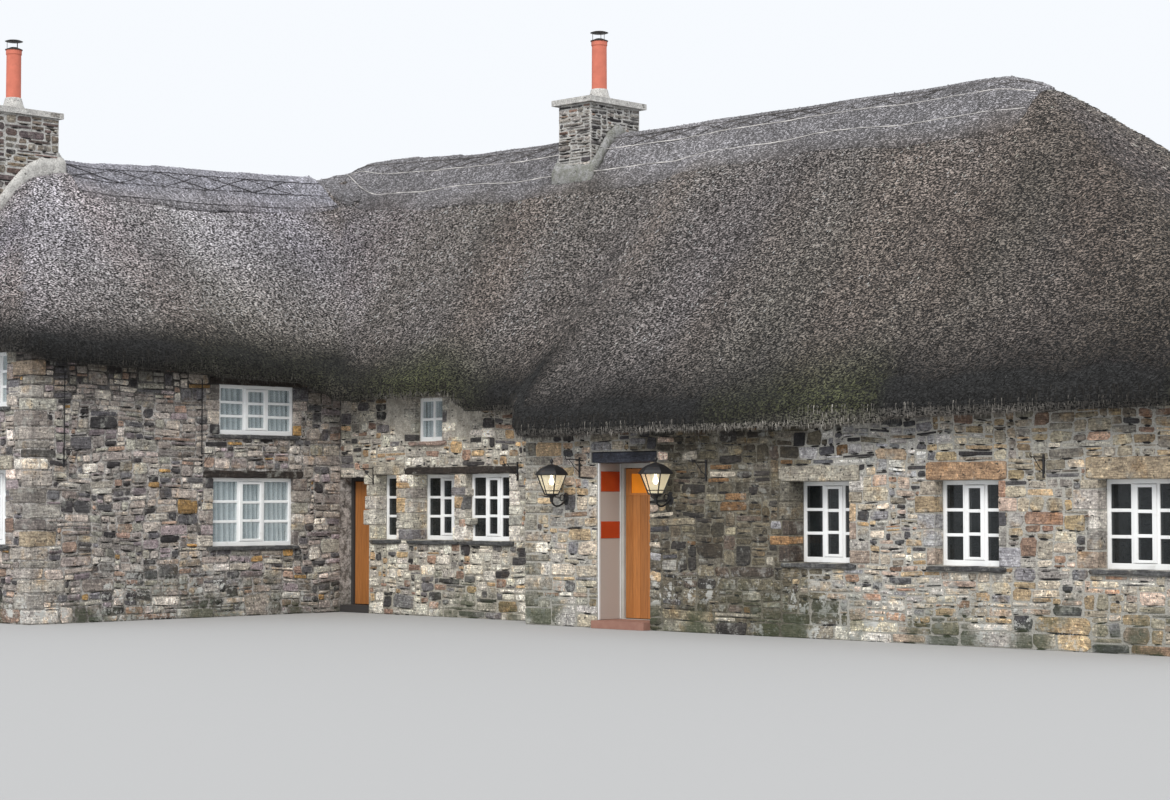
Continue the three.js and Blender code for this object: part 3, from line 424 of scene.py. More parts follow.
class Pile:
    """Points, faces and tones gathered into one mesh, with a tone for each point or one for all of them."""

    def __init__(self):
        self.points, self.faces, self.tones = [], [], []
        self.count = 0

    def add(self, points, faces, tones):
        self.points.append(points.reshape(-1, 3))
        self.tones.append(np.broadcast_to(np.reshape(tones, (-1, 3)), self.points[-1].shape))
        self.faces += [part + self.count for part in faces]
        self.count += len(self.points[-1])

    def build(self, name, material, slot, body="house", smooth=False):
        mesh = bpy.data.meshes.new(name)
        points = np.concatenate(self.points)
        corners = np.concatenate([part.ravel() for part in self.faces])
        sizes = np.concatenate([np.full(len(part), part.shape[1]) for part in self.faces])
        mesh.vertices.add(len(points))
        mesh.vertices.foreach_set("co", points.ravel())
        mesh.loops.add(len(corners))
        mesh.loops.foreach_set("vertex_index", corners)
        mesh.polygons.add(len(sizes))
        mesh.polygons.foreach_set("loop_start", np.concatenate([[0], np.cumsum(sizes)[:-1]]))
        mesh.polygons.foreach_set("use_smooth", np.full(len(sizes), smooth))
        mesh.update(calc_edges=True)
        tone = mesh.color_attributes.new("tone", "FLOAT_COLOR", "POINT")
        rgba = np.concatenate([np.concatenate(self.tones), np.ones((len(points), 1))], 1)
        tone.data.foreach_set("color", rgba.ravel())
        mesh.materials.append(material)
        piece = bpy.data.objects.new(name, mesh)
        bpy.context.scene.collection.objects.link(piece)
        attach(piece, body)
        return piece


def bands(sides, count):
    """Four-sided faces between rings of points that follow each other."""
    around = np.arange(sides)
    after = (around + 1) % sides
    ring = np.stack([around, after, after + sides, around + sides], 1)
    return np.concatenate([ring + sides * k for k in range(count)])


def end_fans(sides, rings):
    """Three-sided faces that close the first and the last ring, round the two points after all the rings."""
    around = np.arange(sides)
    after = (around + 1) % sides
    last = sides * (rings - 1)
    return np.concatenate([
        np.stack([after, around, np.full(sides, sides * rings)], 1),
        np.stack([around + last, after + last, np.full(sides, sides * rings + 1)], 1)])


def repeated(parts, size, count):
    """The faces of one shape, repeated for a count of such shapes of so many points each."""
    offset = size * np.arange(count)[:, None, None]
    return [(part + offset).reshape(-1, part.shape[1]) for part in parts]


# Edges of blocks: the chamfer, and how rough its corners are

JAMB_EDGE = (0.012, 0.004)
CORNER_EDGE = (0.016, 0.005)
TIMBER_EDGE = (0.004, 0.0006)
PANE_EDGE = (0.0008, 0.0)
PLANK_EDGE = (0.003, 0.0008)
AMBER_EDGE = (0.001, 0.0)
STRAP_EDGE = (0.0015, 0.0)
LINING_EDGE = (0.003, 0.0006)
STRIP_EDGE = (0.002, 0.0005)
RED_PANE_EDGE = (0.003, 0.0)
BRACKET_EDGE = (0.002, 0.0)
NOMINAL_CUT = 0.2


def chamfered_box():
    """Unit box, -1 to 1, as 24 corner points with the share of chamfer each takes, and its outward faces."""
    signs = [(x, y, z) for x in (-1, 1) for y in (-1, 1) for z in (-1, 1)]
    corners = np.array([sign for sign in signs for _ in range(3)], float)
    inward = np.array([
        [-s * (axis != face) for axis, s in enumerate(sign)] for sign in signs for face in range(3)], float)
    index = {(sign, face): 3 * i + face for i, sign in enumerate(signs) for face in range(3)}
    faces = []
    for face in range(3):
        a, b = [axis for axis in range(3) if axis != face]
        for side in (-1, 1):
            ring = []
            for sa, sb in ((-1, -1), (1, -1), (1, 1), (-1, 1)):
                sign = [0, 0, 0]
                sign[face], sign[a], sign[b] = side, sa, sb
                ring.append(index[tuple(sign), face])
            faces.append(ring)
        for sa in (-1, 1):
            for sb in (-1, 1):
                low, high = [0, 0, 0], [0, 0, 0]
                low[face], high[face] = -1, 1
                low[a] = high[a] = sa
                low[b] = high[b] = sb
                low, high = tuple(low), tuple(high)
                faces.append([index[low, a], index[low, b], index[high, b], index[high, a]])
    faces += [[3 * i, 3 * i + 1, 3 * i + 2] for i in range(8)]
    shape = corners + NOMINAL_CUT * inward
    turned = []
    for ring in faces:
        p = shape[ring]
        normal = np.cross(p[1] - p[0], p[2] - p[1])
        turned.append(ring if normal @ p.mean(0) > 0 else ring[::-1])
    quads = np.array([ring for ring in turned if len(ring) == 4])
    return corners, inward, quads, np.array([ring for ring in turned if len(ring) == 3])


BOX_CORNERS, BOX_INWARD, BOX_QUADS, BOX_TRIANGLES = chamfered_box()


class Face:
    """A wall face seen from outside: u runs along it to the right, z up, and d out of it."""

    def __init__(self, start, normal, length):
        self.start = np.array(start, float)
        self.normal = np.array(normal, float)
        self.along = np.array([-normal[1], normal[0]], float)
        self.length = length

    def place(self, local):
        flat = self.start + local[..., :1] * self.along + local[..., 2:3] * self.normal
        return np.concatenate([flat, local[..., 1:2]], -1)

    def span(self, node):
        """A CAD node's box in this face's u, z and d, lowest and highest."""
        low, high = (np.array(corner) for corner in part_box(node))
        ends = np.array([(p[:2] - self.start) @ np.array([self.along, self.normal]).T for p in (low, high)])
        u, d = np.sort(ends[:, 0]), np.sort(ends[:, 1])
        return np.array([u[0], low[2], d[0]]), np.array([u[1], high[2], d[1]])


def add_blocks(pile, face, boxes, edge, tones, rng):
    """Chamfered blocks, each from its lowest to its highest u, z and d, with roughened corners."""
    chamfer, rough = edge
    boxes = np.asarray(boxes, float).reshape(-1, 2, 3)
    middle, half = boxes.mean(1), (boxes[:, 1] - boxes[:, 0]) / 2
    cut = np.minimum(chamfer, half.min(1) * 0.8)[:, None, None]
    local = middle[:, None] + BOX_CORNERS * half[:, None] + BOX_INWARD * cut
    local = local + rng.uniform(-rough, rough, local.shape)
    size = len(BOX_CORNERS)
    faces = repeated((BOX_QUADS, BOX_TRIANGLES), size, len(boxes))
    pile.add(face.place(local), faces, np.repeat(np.broadcast_to(tones, (len(boxes), 3)), size, 0))


SECTION_STEP = 0.06


def add_rough_block(pile, face, box, tone, rng, wander):
    """A roughly split block: six-sided sections along u that wander a little, closed at both ends."""
    (u0, z0, d0), (u1, z1, d1) = box
    count = max(3, int((u1 - u0) / SECTION_STEP)) + 1
    u = np.linspace(u0, u1, count)
    low, high, front = (
        wander * (0.7 * np.sin(u * rng.uniform(5, 14) + rng.uniform(0, 6.28)) + rng.uniform(-0.6, 0.6, count))
        for _ in range(3))
    ends = np.zeros(count)
    ends[[0, -1]] = 1
    cut = rng.uniform(0.006, 0.014, (4, count)) * (1 + ends)
    z0, z1 = z0 + low + ends * 0.004, z1 + high - ends * 0.006
    d1 = d1 + np.minimum(front, 0.003) - ends * 0.006
    ring = np.stack([
        np.stack([z0, np.full(count, d0)]), np.stack([z0, d1 - cut[0]]), np.stack([z0 + cut[1], d1]),
        np.stack([z1 - cut[2], d1]), np.stack([z1, d1 - cut[3]]), np.stack([z1, np.full(count, d0)])])
    ring = ring.transpose(2, 0, 1)
    local = np.concatenate([np.broadcast_to(u[:, None, None], (count, 6, 1)), ring], -1)
    around = np.arange(6)
    closing = np.stack([around[::-1], around + 6 * (count - 1)])
    quads = bands(6, count - 1)[:, [1, 2, 3, 0]]
    pile.add(face.place(local), [quads, closing], tone)


def block_piece(name, material, slot, face, boxes, edge, tones, rng, body="house"):
    """Chamfered blocks as one piece of their own."""
    pile = Pile()
    add_blocks(pile, face, boxes, edge, tones, rng)
    return pile.build(name, material, slot, body=body)


def skin_piece(name, material, slot, points, quads, tones, smooth=True):
    """A remeshed skin as one piece of its own."""
    pile = Pile()
    pile.add(points, [quads], tones)
    return pile.build(name, material, slot, smooth=smooth)


def turned_piece(name, material, slot, profile, centre, sides, tone, turn=0.0, smooth=False):
    """One turned shape as a piece of its own."""
    pile = Pile()
    lathe(pile, profile, centre, sides, tone, turn)
    return pile.build(name, material, slot, smooth=smooth)


def tube(pile, path, radius, tone, sides=6):
    """A round rod along a path, closed at both ends."""
    path = np.asarray(path, float)
    radius = np.broadcast_to(radius, len(path))
    ahead = np.gradient(path, axis=0)
    ahead /= np.linalg.norm(ahead, axis=1)[:, None]
    aside = np.cross(ahead, [0.13, 0.21, 0.97])
    aside /= np.linalg.norm(aside, axis=1)[:, None]
    above = np.cross(aside, ahead)
    angles = np.arange(sides) * FULL_TURN / sides
    turn = aside[:, None] * np.cos(angles)[:, None] + above[:, None] * np.sin(angles)[:, None]
    rings = path[:, None] + turn * radius[:, None, None]
    points = np.concatenate([rings.reshape(-1, 3), path[:1], path[-1:]])
    quads = bands(sides, len(path) - 1)[:, [0, 3, 2, 1]]
    fans = end_fans(sides, len(path))[:, [1, 0, 2]]
    pile.add(points, [quads, fans], tone)


def lathe(pile, profile, centre, sides, tone, turn=0.0):
    """A closed turned shape: the profile is radius and height, and both its ends are closed at the axis."""
    profile = np.asarray(profile, float)
    angles = turn + np.arange(sides) * FULL_TURN / sides
    rings = np.stack([
        profile[:, :1] * np.cos(angles), profile[:, :1] * np.sin(angles),
        np.repeat(profile[:, 1:], sides, 1)], -1) + np.array(centre)
    x, y, z = centre
    points = np.concatenate([rings.reshape(-1, 3), [[x, y, z + profile[0, 1]]], [[x, y, z + profile[-1, 1]]]])
    pile.add(points, [bands(sides, len(profile) - 1), end_fans(sides, len(profile))], tone)


# Rubble stones


def palette(*shades):
    weights = np.array([shade[0] for shade in shades], float)
    return weights / weights.sum(), np.array([shade[1] for shade in shades], float)


# Dark earthy stones, used on the step, rear and right end walls too; their darkness is partly painted shade
# of the climbing plants on the front wall.
EARTH = palette(
    (26, (0.13, 0.113, 0.08)), (18, (0.2, 0.178, 0.13)), (18, (0.095, 0.084, 0.064)),
    (12, (0.165, 0.153, 0.125)), (6, (0.24, 0.142, 0.07)), (8, (0.125, 0.102, 0.084)),
    (8, (0.052, 0.048, 0.044)), (6, (0.35, 0.33, 0.275)))
OCHRE = palette(
    (26, (0.45, 0.4, 0.31)), (18, (0.54, 0.425, 0.27)), (16, (0.53, 0.495, 0.415)),
    (10, (0.31, 0.28, 0.24)), (10, (0.39, 0.265, 0.2)), (12, (0.37, 0.35, 0.315)),
    (4, (0.15, 0.148, 0.152)), (3, (0.085, 0.078, 0.076)))
BLUE = palette(
    (34, (0.64, 0.635, 0.61)), (22, (0.5, 0.502, 0.515)), (14, (0.34, 0.345, 0.37)),
    (13, (0.1, 0.103, 0.115)), (4, (0.45, 0.36, 0.25)), (10, (0.055, 0.053, 0.057)))
WARM = palette(
    (24, (0.56, 0.505, 0.41)), (18, (0.56, 0.455, 0.375)), (10, (0.53, 0.41, 0.265)),
    (18, (0.49, 0.475, 0.445)), (8, (0.36, 0.36, 0.38)), (8, (0.43, 0.28, 0.2)), (8, (0.68, 0.66, 0.6)),
    (8, (0.1, 0.1, 0.11)))
CHALK = palette(
    (30, (0.74, 0.715, 0.64)), (24, (0.64, 0.61, 0.53)), (14, (0.49, 0.465, 0.415)),
    (9, (0.58, 0.42, 0.25)), (7, (0.4, 0.27, 0.205)), (9, (0.19, 0.185, 0.19)),
    (9, (0.065, 0.062, 0.063)))
COOL = palette(
    (24, (0.46, 0.41, 0.372)), (18, (0.35, 0.32, 0.3)), (12, (0.56, 0.52, 0.47)),
    (14, (0.4, 0.388, 0.345)), (12, (0.15, 0.147, 0.158)), (2, (0.46, 0.29, 0.12)),
    (7, (0.38, 0.275, 0.22)), (3, (0.62, 0.595, 0.55)), (8, (0.36, 0.312, 0.33)),
    (8, (0.06, 0.056, 0.06)))
SLATE = palette(
    (24, (0.25, 0.232, 0.215)), (22, (0.34, 0.322, 0.305)), (14, (0.135, 0.13, 0.132)),
    (16, (0.47, 0.45, 0.41)), (5, (0.29, 0.2, 0.16)), (10, (0.07, 0.066, 0.07)))
UMBER = palette(
    (26, (0.19, 0.145, 0.132)), (22, (0.225, 0.19, 0.158)), (18, (0.27, 0.24, 0.2)),
    (14, (0.125, 0.1, 0.104)), (12, (0.34, 0.32, 0.28)), (8, (0.08, 0.07, 0.072)))
CAP_RUBBLE = palette(
    (30, (0.33, 0.31, 0.275)), (24, (0.19, 0.178, 0.165)), (24, (0.47, 0.45, 0.41)),
    (22, (0.09, 0.085, 0.084)))
CAP_SLABS = palette(
    (50, (0.25, 0.24, 0.225)), (50, (0.33, 0.318, 0.295)))
QUOIN = palette(
    (24, (0.48, 0.45, 0.41)), (20, (0.62, 0.6, 0.55)), (26, (0.38, 0.355, 0.325)),
    (20, (0.23, 0.215, 0.2)), (10, (0.44, 0.36, 0.27)))
PALE = palette(
    (40, (0.46, 0.445, 0.4)), (30, (0.38, 0.365, 0.32)), (30, (0.52, 0.505, 0.455)))

CELL_U = 0.03
CELL_Z = 0.02
BASE_BOOST = 1.5
WIDTH_SPREAD = 0.42
HEIGHT_SPREAD = 0.38
LEVEL_SHARE = 0.45


def pick_tones(rng, shades, count):
    weights, colours = shades
    chosen = colours[rng.choice(len(weights), count, p=weights)]
    return chosen * rng.lognormal(-0.03, 0.24, (count, 1)) * rng.uniform(0.98, 1.02, (count, 3))


def lay_stones(rng, taken, style):
    """Fills the free cells of a wall face with rectangles, from the bottom up, and returns them in cells."""
    wide, tall = style["wide"], style["tall"]
    base_rows, zones = style.get("base", 0), style.get("zones", ())
    rows, columns = taken.shape
    laid = []
    top = np.zeros(columns, int)
    for row in range(rows):
        column = 0
        while column < columns:
            if taken[row, column]:
                column += 1
                continue
            boost = next((size for start, _, size in reversed(zones) if column * CELL_U > start), 1.0)
            boost *= BASE_BOOST if row < base_rows else 1.0
            widest, tallest = wide[1] * boost, tall[1] * boost
            longest = int(widest / CELL_U)
            width = rng.lognormal(math.log(wide[0] * boost), WIDTH_SPREAD)
            width = int(np.clip(width, wide[0] * 0.4, widest) / CELL_U)
            run = 1
            while column + run < columns and run < width + longest // 2 and not taken[row, column + run]:
                run += 1
            if run <= width or run - width < 4:
                width = run if run <= longest + 4 else run // 2
            goal = rng.lognormal(math.log(tall[0] * boost), HEIGHT_SPREAD)
            goal = np.clip(goal, tall[0] * 0.5, tallest) / CELL_Z
            left = top[column - 1] - row if column else 0
            if 2 <= left <= tallest / CELL_Z and rng.random() < LEVEL_SHARE:
                goal = left
            goal = max(2, min(int(round(goal)), max(2, int(width * CELL_U / CELL_Z * 1.1))))
            height = 1
            while height < goal + 2 and row + height < rows:
                if taken[row + height, column:column + width].any():
                    break
                height += 1
            height = height if height < goal + 2 else goal
            taken[row:row + height, column:column + width] = True
            top[column:column + width] = row + height
            laid.append((column, row, column + width, row + height))
            column += width
    return np.array(laid, float)


RIPPLE = 0.01


def ripple(rng):
    """A smooth shift of the joints, so that the courses wander."""
    ranges = ((1.5, 5.5), (1.5, 6.0), (0, 6.28), (0.4, 1.0))
    waves = [[rng.uniform(*limits) for limits in ranges] for _ in range(7)]

    def shift(u, z, fade):
        total = sum(size * np.sin(a * u + b * z + phase) for a, b, phase, size in waves)
        return RIPPLE * total * fade

    return shift


JOINT_SHADOW_SHARE = 0.7
JOINT_HALF = (0.003, 0.015)
JOINT_BELOW = 0.005
JOINT_SLOPE = 0.006
JOINT_RIM = 0.0045
JOINT_FLOOR = -0.012
# Near-black in the open joints: painted shadow of their depth.
JOINT_SHADOW_TONE = (0.02, 0.019, 0.019)


def add_joint_shadows(pile, face, rng, u0, u1, z0, fade):
    """Thin near-black hollows under some of the stones, where the mortar has fallen out; their black is
    painted shadow of the deep joints.
    """
    chosen = rng.random(len(u0)) < JOINT_SHADOW_SHARE
    u0, u1, z0, fade = u0[chosen], u1[chosen], z0[chosen], fade[chosen]
    count = len(u0)
    start = u0 + (u1 - u0) * rng.uniform(0.0, 0.45, count)
    end = start + (u1 - start) * rng.uniform(0.45, 1.0, count)
    half = rng.uniform(*JOINT_HALF, count)
    middle = z0 - JOINT_BELOW
    slope = rng.uniform(-JOINT_SLOPE, JOINT_SLOPE, count)
    inset = 0.25 * (end - start)
    flat = np.array([
        [start, middle - slope], [start + inset, middle - half], [end - inset, middle - half * 0.8 + slope],
        [end, middle + slope], [end - inset, middle + half], [start + inset, middle + half * 0.9 - slope]])
    flat = flat.transpose(2, 0, 1)
    flat = np.concatenate([flat, flat.mean(1, keepdims=True)], 1)
    moved = np.repeat(fade[:, None], 7, 1)
    shift = [move(flat[..., 0], flat[..., 1], moved) for move in (face.shift_u, face.shift_z)]
    depth = np.full((count, 7, 1), JOINT_RIM)
    depth[:, 6] = JOINT_FLOOR
    local = np.concatenate([flat + np.stack(shift, -1), depth], -1)
    around = np.arange(6)
    apex = np.stack([(around + 1) % 6, around, np.full(6, 6)], 1)
    pile.add(face.place(local), repeated((around[None], apex), 7, count), JOINT_SHADOW_TONE)


STONE_FOOT = -0.006
STONE_BEVEL = (0.008, 0.018)
# Stones within 0.42 m under the thatch darkened: painted shade of the eaves.
EAVES_STONE_SHADE = ((0.0, 0.42), (0.3, 1.0))


def add_stones(pile, face, cells, rng, style, keep_still, tops=None):
    """Stones of eight irregular sides, each a raised and slightly tilted slab over the mortar, darkened under
    the eaves as painted shade.
    """
    joint, proud = style["joint"], style["proud"]
    u0, z0, u1, z1 = (cells * np.array([CELL_U, CELL_Z, CELL_U, CELL_Z])).T
    count = len(cells)
    gap = rng.uniform(joint * 0.4, joint * 1.7, (4, count))
    u0, z0, u1, z1 = u0 + gap[0], z0 + gap[1] * 0.7, u1 - gap[2], z1 - gap[3] * 0.7
    wide, tall = u1 - u0, z1 - z0
    cut_u = rng.uniform(0.02, 0.2, (4, count)) * np.minimum(wide, tall * 1.8)
    cut_z = rng.uniform(0.06, 0.34, (4, count)) * tall
    ring = np.array([
        [u0 + cut_u[0], z0], [u1 - cut_u[1], z0], [u1, z0 + cut_z[1]], [u1, z1 - cut_z[2]],
        [u1 - cut_u[2], z1], [u0 + cut_u[3], z1], [u0, z1 - cut_z[3]], [u0, z0 + cut_z[0]]])
    ring = ring.transpose(2, 0, 1)
    ring = ring + rng.uniform(-1, 1, ring.shape) * np.minimum(0.01, 0.1 * tall)[:, None, None]
    middle = ring.mean(1, keepdims=True)
    half = np.stack([wide, tall], 1)[:, None] / 2
    out = rng.uniform(proud[0], proud[1], count)[:, None]
    tilt = rng.uniform(-0.5, 0.5, (count, 2))
    lean = ((ring - middle) / half * tilt[:, None]).sum(2) * out * 0.7
    edge = middle + (ring - middle) * (1 - 0.002 / half)
    crown = middle + (ring - middle) * np.clip(1 - rng.uniform(*STONE_BEVEL, (count, 8, 1)) / half, 0.35, 1)
    layers = [
        (ring, np.full((count, 8), STONE_FOOT)),
        (edge, out * 0.62 + lean * 0.6),
        (crown, out + lean + rng.uniform(-0.002, 0.002, (count, 8))),
        (middle, out + rng.uniform(-0.001, 0.006, (count, 1)))]
    flat = np.concatenate([layer for layer, _ in layers], 1)
    depth = np.concatenate([level for _, level in layers], 1)
    fade = keep_still(flat[..., 0], flat[..., 1])
    shift = [move(flat[..., 0], flat[..., 1], fade) for move in (face.shift_u, face.shift_z)]
    flat = flat + np.stack(shift, -1)
    local = np.concatenate([flat, depth[..., None]], -1)
    around = np.arange(8)
    after = (around + 1) % 8
    add_joint_shadows(pile, face, rng, u0, u1, z0, fade[:, -1])
    fan = np.stack([around + 16, after + 16, np.full(8, 24)], 1)
    tones = pick_tones(rng, style["shades"], count)
    for start, (upper, lower, split), _ in style.get("zones", ()):
        beyond = u0 + rng.normal(0, 0.3, count) > start
        above = z0 + rng.normal(0, 0.14, count) > split
        for part, zone_shades in ((beyond & above, upper), (beyond & ~above, lower)):
            tones[part] = pick_tones(rng, zone_shades, part.sum())
    # Painted shade: stones just under the eaves darkened.
    if tops is not None:
        under = tops[np.minimum(cells[:, 0].astype(int), len(tops) - 1)] - cells[:, 3] * CELL_Z
        tones = tones * np.interp(under, *EAVES_STONE_SHADE)[:, None]
    pile.add(face.place(local), repeated((bands(8, 2), fan), 25, count), np.repeat(tones, 25, 0))


# The thatch over each point of a wall

THATCH_NODES = [
    "main_thatch_front", "main_thatch_rear", "right_thatch_hip", "wing_thatch_inner", "wing_thatch_outer",
    "wing_thatch_hip"]


def gather(names):
    points, faces = [], []
    for name in names:
        mesh = NODES[name].data
        faces += [[i + len(points) for i in polygon.vertices] for polygon in mesh.polygons]
        points += [tuple(vertex.co) for vertex in mesh.vertices]
    return points, faces


THATCH_TREE = BVHTree.FromPolygons(*gather(THATCH_NODES))


def thatch_over(x, y, start=1.2, otherwise=9.0):
    hit = THATCH_TREE.ray_cast(Vector((x, y, start)), Vector((0, 0, 1)))[0]
    return hit.z if hit else otherwise


# Corner stones: for each outer corner of the house, blocks that wrap both faces

CORNERS = {
    "right_front": (MAIN_RIGHT, MAIN_FRONT), "right_back": (MAIN_RIGHT, MAIN_BACK),
    "left_back": (WING_LEFT, MAIN_BACK), "wing_left": (WING_LEFT, WING_FRONT),
    "wing_right": (WING_RIGHT, WING_FRONT), "step": (STEP_X, MAIN_FRONT)}
CORNER_TOP = 3.6
CORNER_TALL = (0.09, 0.22)
CORNER_LONG = (0.3, 0.52)
CORNER_SHORT = (0.16, 0.28)


def corner_stones(name):
    rng = seeded(CORNER_SEED_STEP * list(CORNERS).index(name))
    stones, z, turn = [], 0.0, 0
    while z < CORNER_TOP:
        tall = rng.uniform(*CORNER_TALL)
        long, short = rng.uniform(*CORNER_LONG), rng.uniform(*CORNER_SHORT)
        stones.append((z + 0.008, z + tall - 0.006, *((long, short) if turn else (short, long))))
        z += tall
        turn = 1 - turn
    return stones


CORNER_STONES = {name: corner_stones(name) for name in CORNERS}

# Wall faces: start, outward normal, length, windows, corner at each end, shades, stone sizes

STONE_LINTEL = dict(kind="stone", tall=0.19, past=0.14, tone=(0.4, 0.375, 0.315))
BUFF_LINTEL = dict(kind="stone", tall=0.24, past=0.13, tone=(0.4, 0.33, 0.235))
OCHRE_LINTEL = dict(kind="stone", tall=0.21, past=0.1, tone=(0.4, 0.265, 0.165))
TIMBER_LINTEL = dict(kind="timber", tall=0.11, past=0.16, tone=(0.035, 0.028, 0.024))
NO_LINTEL = dict(kind="none", tall=0.0, past=0.0, tone=(0, 0, 0))

PLASTER = [
    (1.16, 1.66, 2.4, 2.62), (0.98, 1.66, 2.62, 3.2), (2.2, 2.68, 2.44, 2.62), (2.2, 2.92, 2.62, 2.86),
    (2.2, 2.6, 2.86, 3.2)]

WALLS = {
    "front_stones": dict(
        start=(STEP_X, MAIN_FRONT), normal=(0, -1), length=MAIN_RIGHT - STEP_X,
        corners=("step", "right_front"), shades=WARM,
        zones=(
            # Dark earthy stretch from 2.05 m: partly stone tone, partly painted shade of the climbing plants.
            (2.05, (EARTH, EARTH, 1.0), 1.0), (4.62, (BLUE, WARM, 1.75), 0.72),
            (6.35, (OCHRE, WARM, 1.0), 0.95)),
        wide=(0.27, 0.66), tall=(0.1, 0.25), proud=(0.003, 0.014), joint=0.011, base=12,
        windows={
            "front_window_1": STONE_LINTEL, "front_window_2": OCHRE_LINTEL, "front_window_3": BUFF_LINTEL},
        holes=[(1.26, 2.14, 0.0, 2.035), (1.15, 2.25, 2.035, 2.17)]),
    "step_stones": dict(
        start=(STEP_X, INNER_FRONT), normal=(-1, 0), length=INNER_FRONT - MAIN_FRONT,
        corners=(None, "step"), shades=EARTH,
        wide=(0.2, 0.4), tall=(0.092, 0.2), proud=(0.005, 0.018), joint=0.01, base=0, windows={}),
    "inner_stones": dict(
        start=(WING_RIGHT, INNER_FRONT), normal=(0, -1), length=STEP_X - WING_RIGHT,
        corners=(None, None), shades=CHALK,
        wide=(0.2, 0.48), tall=(0.085, 0.2), proud=(0.004, 0.018), joint=0.012, base=6,
        windows={
            "inner_window_1": STONE_LINTEL, "inner_window_2": TIMBER_LINTEL, "inner_window_3": TIMBER_LINTEL,
            "inner_upper_window": NO_LINTEL},
        holes=[(0.0, 0.62, 0.0, 1.9), *PLASTER]),
    "wing_side_stones": dict(
        start=(WING_RIGHT, WING_FRONT), normal=(1, 0), length=INNER_FRONT - WING_FRONT,
        corners=("wing_right", None), shades=COOL,
        wide=(0.22, 0.48), tall=(0.086, 0.19), proud=(0.005, 0.022), joint=0.012, base=4,
        windows={"wing_side_window": TIMBER_LINTEL, "wing_side_upper_window": TIMBER_LINTEL}),
    "wing_end_stones": dict(
        start=(WING_LEFT, WING_FRONT), normal=(0, -1), length=WING_RIGHT - WING_LEFT,
        corners=("wing_left", "wing_right"), shades=COOL,
        wide=(0.25, 0.52), tall=(0.1, 0.19), proud=(0.007, 0.024), joint=0.01, base=4,
        windows={
            "wing_end_window_1": STONE_LINTEL, "wing_end_window_2": STONE_LINTEL,
            "wing_end_upper_window_1": TIMBER_LINTEL, "wing_end_upper_window_2": TIMBER_LINTEL}),
    "wing_outer_stones": dict(
        start=(WING_LEFT, MAIN_BACK), normal=(-1, 0), length=MAIN_BACK - WING_FRONT,
        corners=("left_back", "wing_left"), shades=COOL,
        wide=(0.32, 0.62), tall=(0.135, 0.24), proud=(0.007, 0.024), joint=0.011, base=6,
        windows={"wing_outer_window": TIMBER_LINTEL}),
    "rear_stones": dict(
        start=(MAIN_RIGHT, MAIN_BACK), normal=(0, 1), length=MAIN_RIGHT - WING_LEFT,
        corners=("right_back", "left_back"), shades=EARTH,
        wide=(0.34, 0.7), tall=(0.145, 0.26), proud=(0.006, 0.022), joint=0.012, base=8,
        windows={
            "rear_window_1": STONE_LINTEL, "rear_window_2": STONE_LINTEL, "rear_window_3": STONE_LINTEL}),
    "right_end_stones": dict(
        start=(MAIN_RIGHT, MAIN_FRONT), normal=(1, 0), length=MAIN_BACK - MAIN_FRONT,
        corners=("right_front", "right_back"), shades=EARTH,
        wide=(0.24, 0.55), tall=(0.105, 0.21), proud=(0.006, 0.022), joint=0.01, base=10, windows={}),
}
WALL_TOP = 3.9
CORNER_PROUD = 0.014
JAMB_PROUD = (0.008, 0.018)
JAMB_TALL = (0.09, 0.22)
JAMB_REACH = (0.08, 0.3)
LINTEL_PROUD = 0.02
SILL_DEPTH = 0.055
SILL_PROUD = 0.05
SILL_PAST = 0.09
SILL_TONE = (0.085, 0.088, 0.092)
SILL_TONES = {"inner_upper_window": (0.36, 0.27, 0.23)}


def shades_at(wall, u):
    for start, (_, lower, _), _ in reversed(wall.get("zones", ())):
        if u > start:
            return lower
    return wall["shades"]


def window_surround(window, span, lintel, rng, wall):
    """Jamb stones round one window with a tone each, what they cover, and its rough lintel and sill."""
    (u0, z0, _), (u1, z1, outer) = span
    recess = -outer
    boxes, tones, covered = [], [], [(u0, u1, z0, z1)]
    for side in (-1, 1):
        z = z0
        while z < z1 - 0.01:
            tall = rng.uniform(*JAMB_TALL)
            tall = z1 - z if z1 - z - tall < 0.08 else tall
            reach = rng.uniform(*JAMB_REACH)
            edge = (u0 + 0.005, u0 - reach) if side < 0 else (u1 - 0.005, u1 + reach)
            low, high = min(edge), max(edge)
            proud = rng.uniform(*JAMB_PROUD)
            boxes.append(((low, z + 0.005, -recess + 0.004), (high, z + tall - 0.005, proud)))
            tones.append(pick_tones(rng, shades_at(wall, low), 1)[0] * 1.05)
            covered.append((low, high, z, z + tall))
            z += tall
    rough = []
    if lintel["kind"] != "none":
        past, tall = lintel["past"], lintel["tall"]
        tone = np.array(lintel["tone"]) * rng.uniform(0.9, 1.1)
        box = ((u0 - past, z1 + 0.002, -recess + 0.004), (u1 + past, z1 + tall - 0.012, LINTEL_PROUD))
        rough.append((box, tone))
        covered.append((u0 - past, u1 + past, z1, z1 + tall))
    sill = ((u0 - SILL_PAST, z0 - SILL_DEPTH, -recess + 0.002), (u1 + SILL_PAST, z0 - 0.002, SILL_PROUD))
    rough.append((sill, np.array(SILL_TONES.get(window, SILL_TONE))))
    covered.append((u0 - SILL_PAST, u1 + SILL_PAST, z0 - SILL_DEPTH, z0))
    return boxes, tones, covered, rough


def corner_boxes(name, face_length, at_start, owner):
    boxes, covered = [], []
    for low, high, first, second in CORNER_STONES[name]:
        reach, depth = (first, second) if owner else (second, first)
        u = (-CORNER_PROUD, reach) if at_start else (face_length - reach, face_length + CORNER_PROUD)
        boxes.append(((u[0], low, -depth), (u[1], high, CORNER_PROUD)))
        covered.append((max(u[0], 0), min(u[1], face_length), low - 0.008, high + 0.006))
    return boxes, covered


def wall_face(wall):
    return Face(wall["start"], wall["normal"], wall["length"])


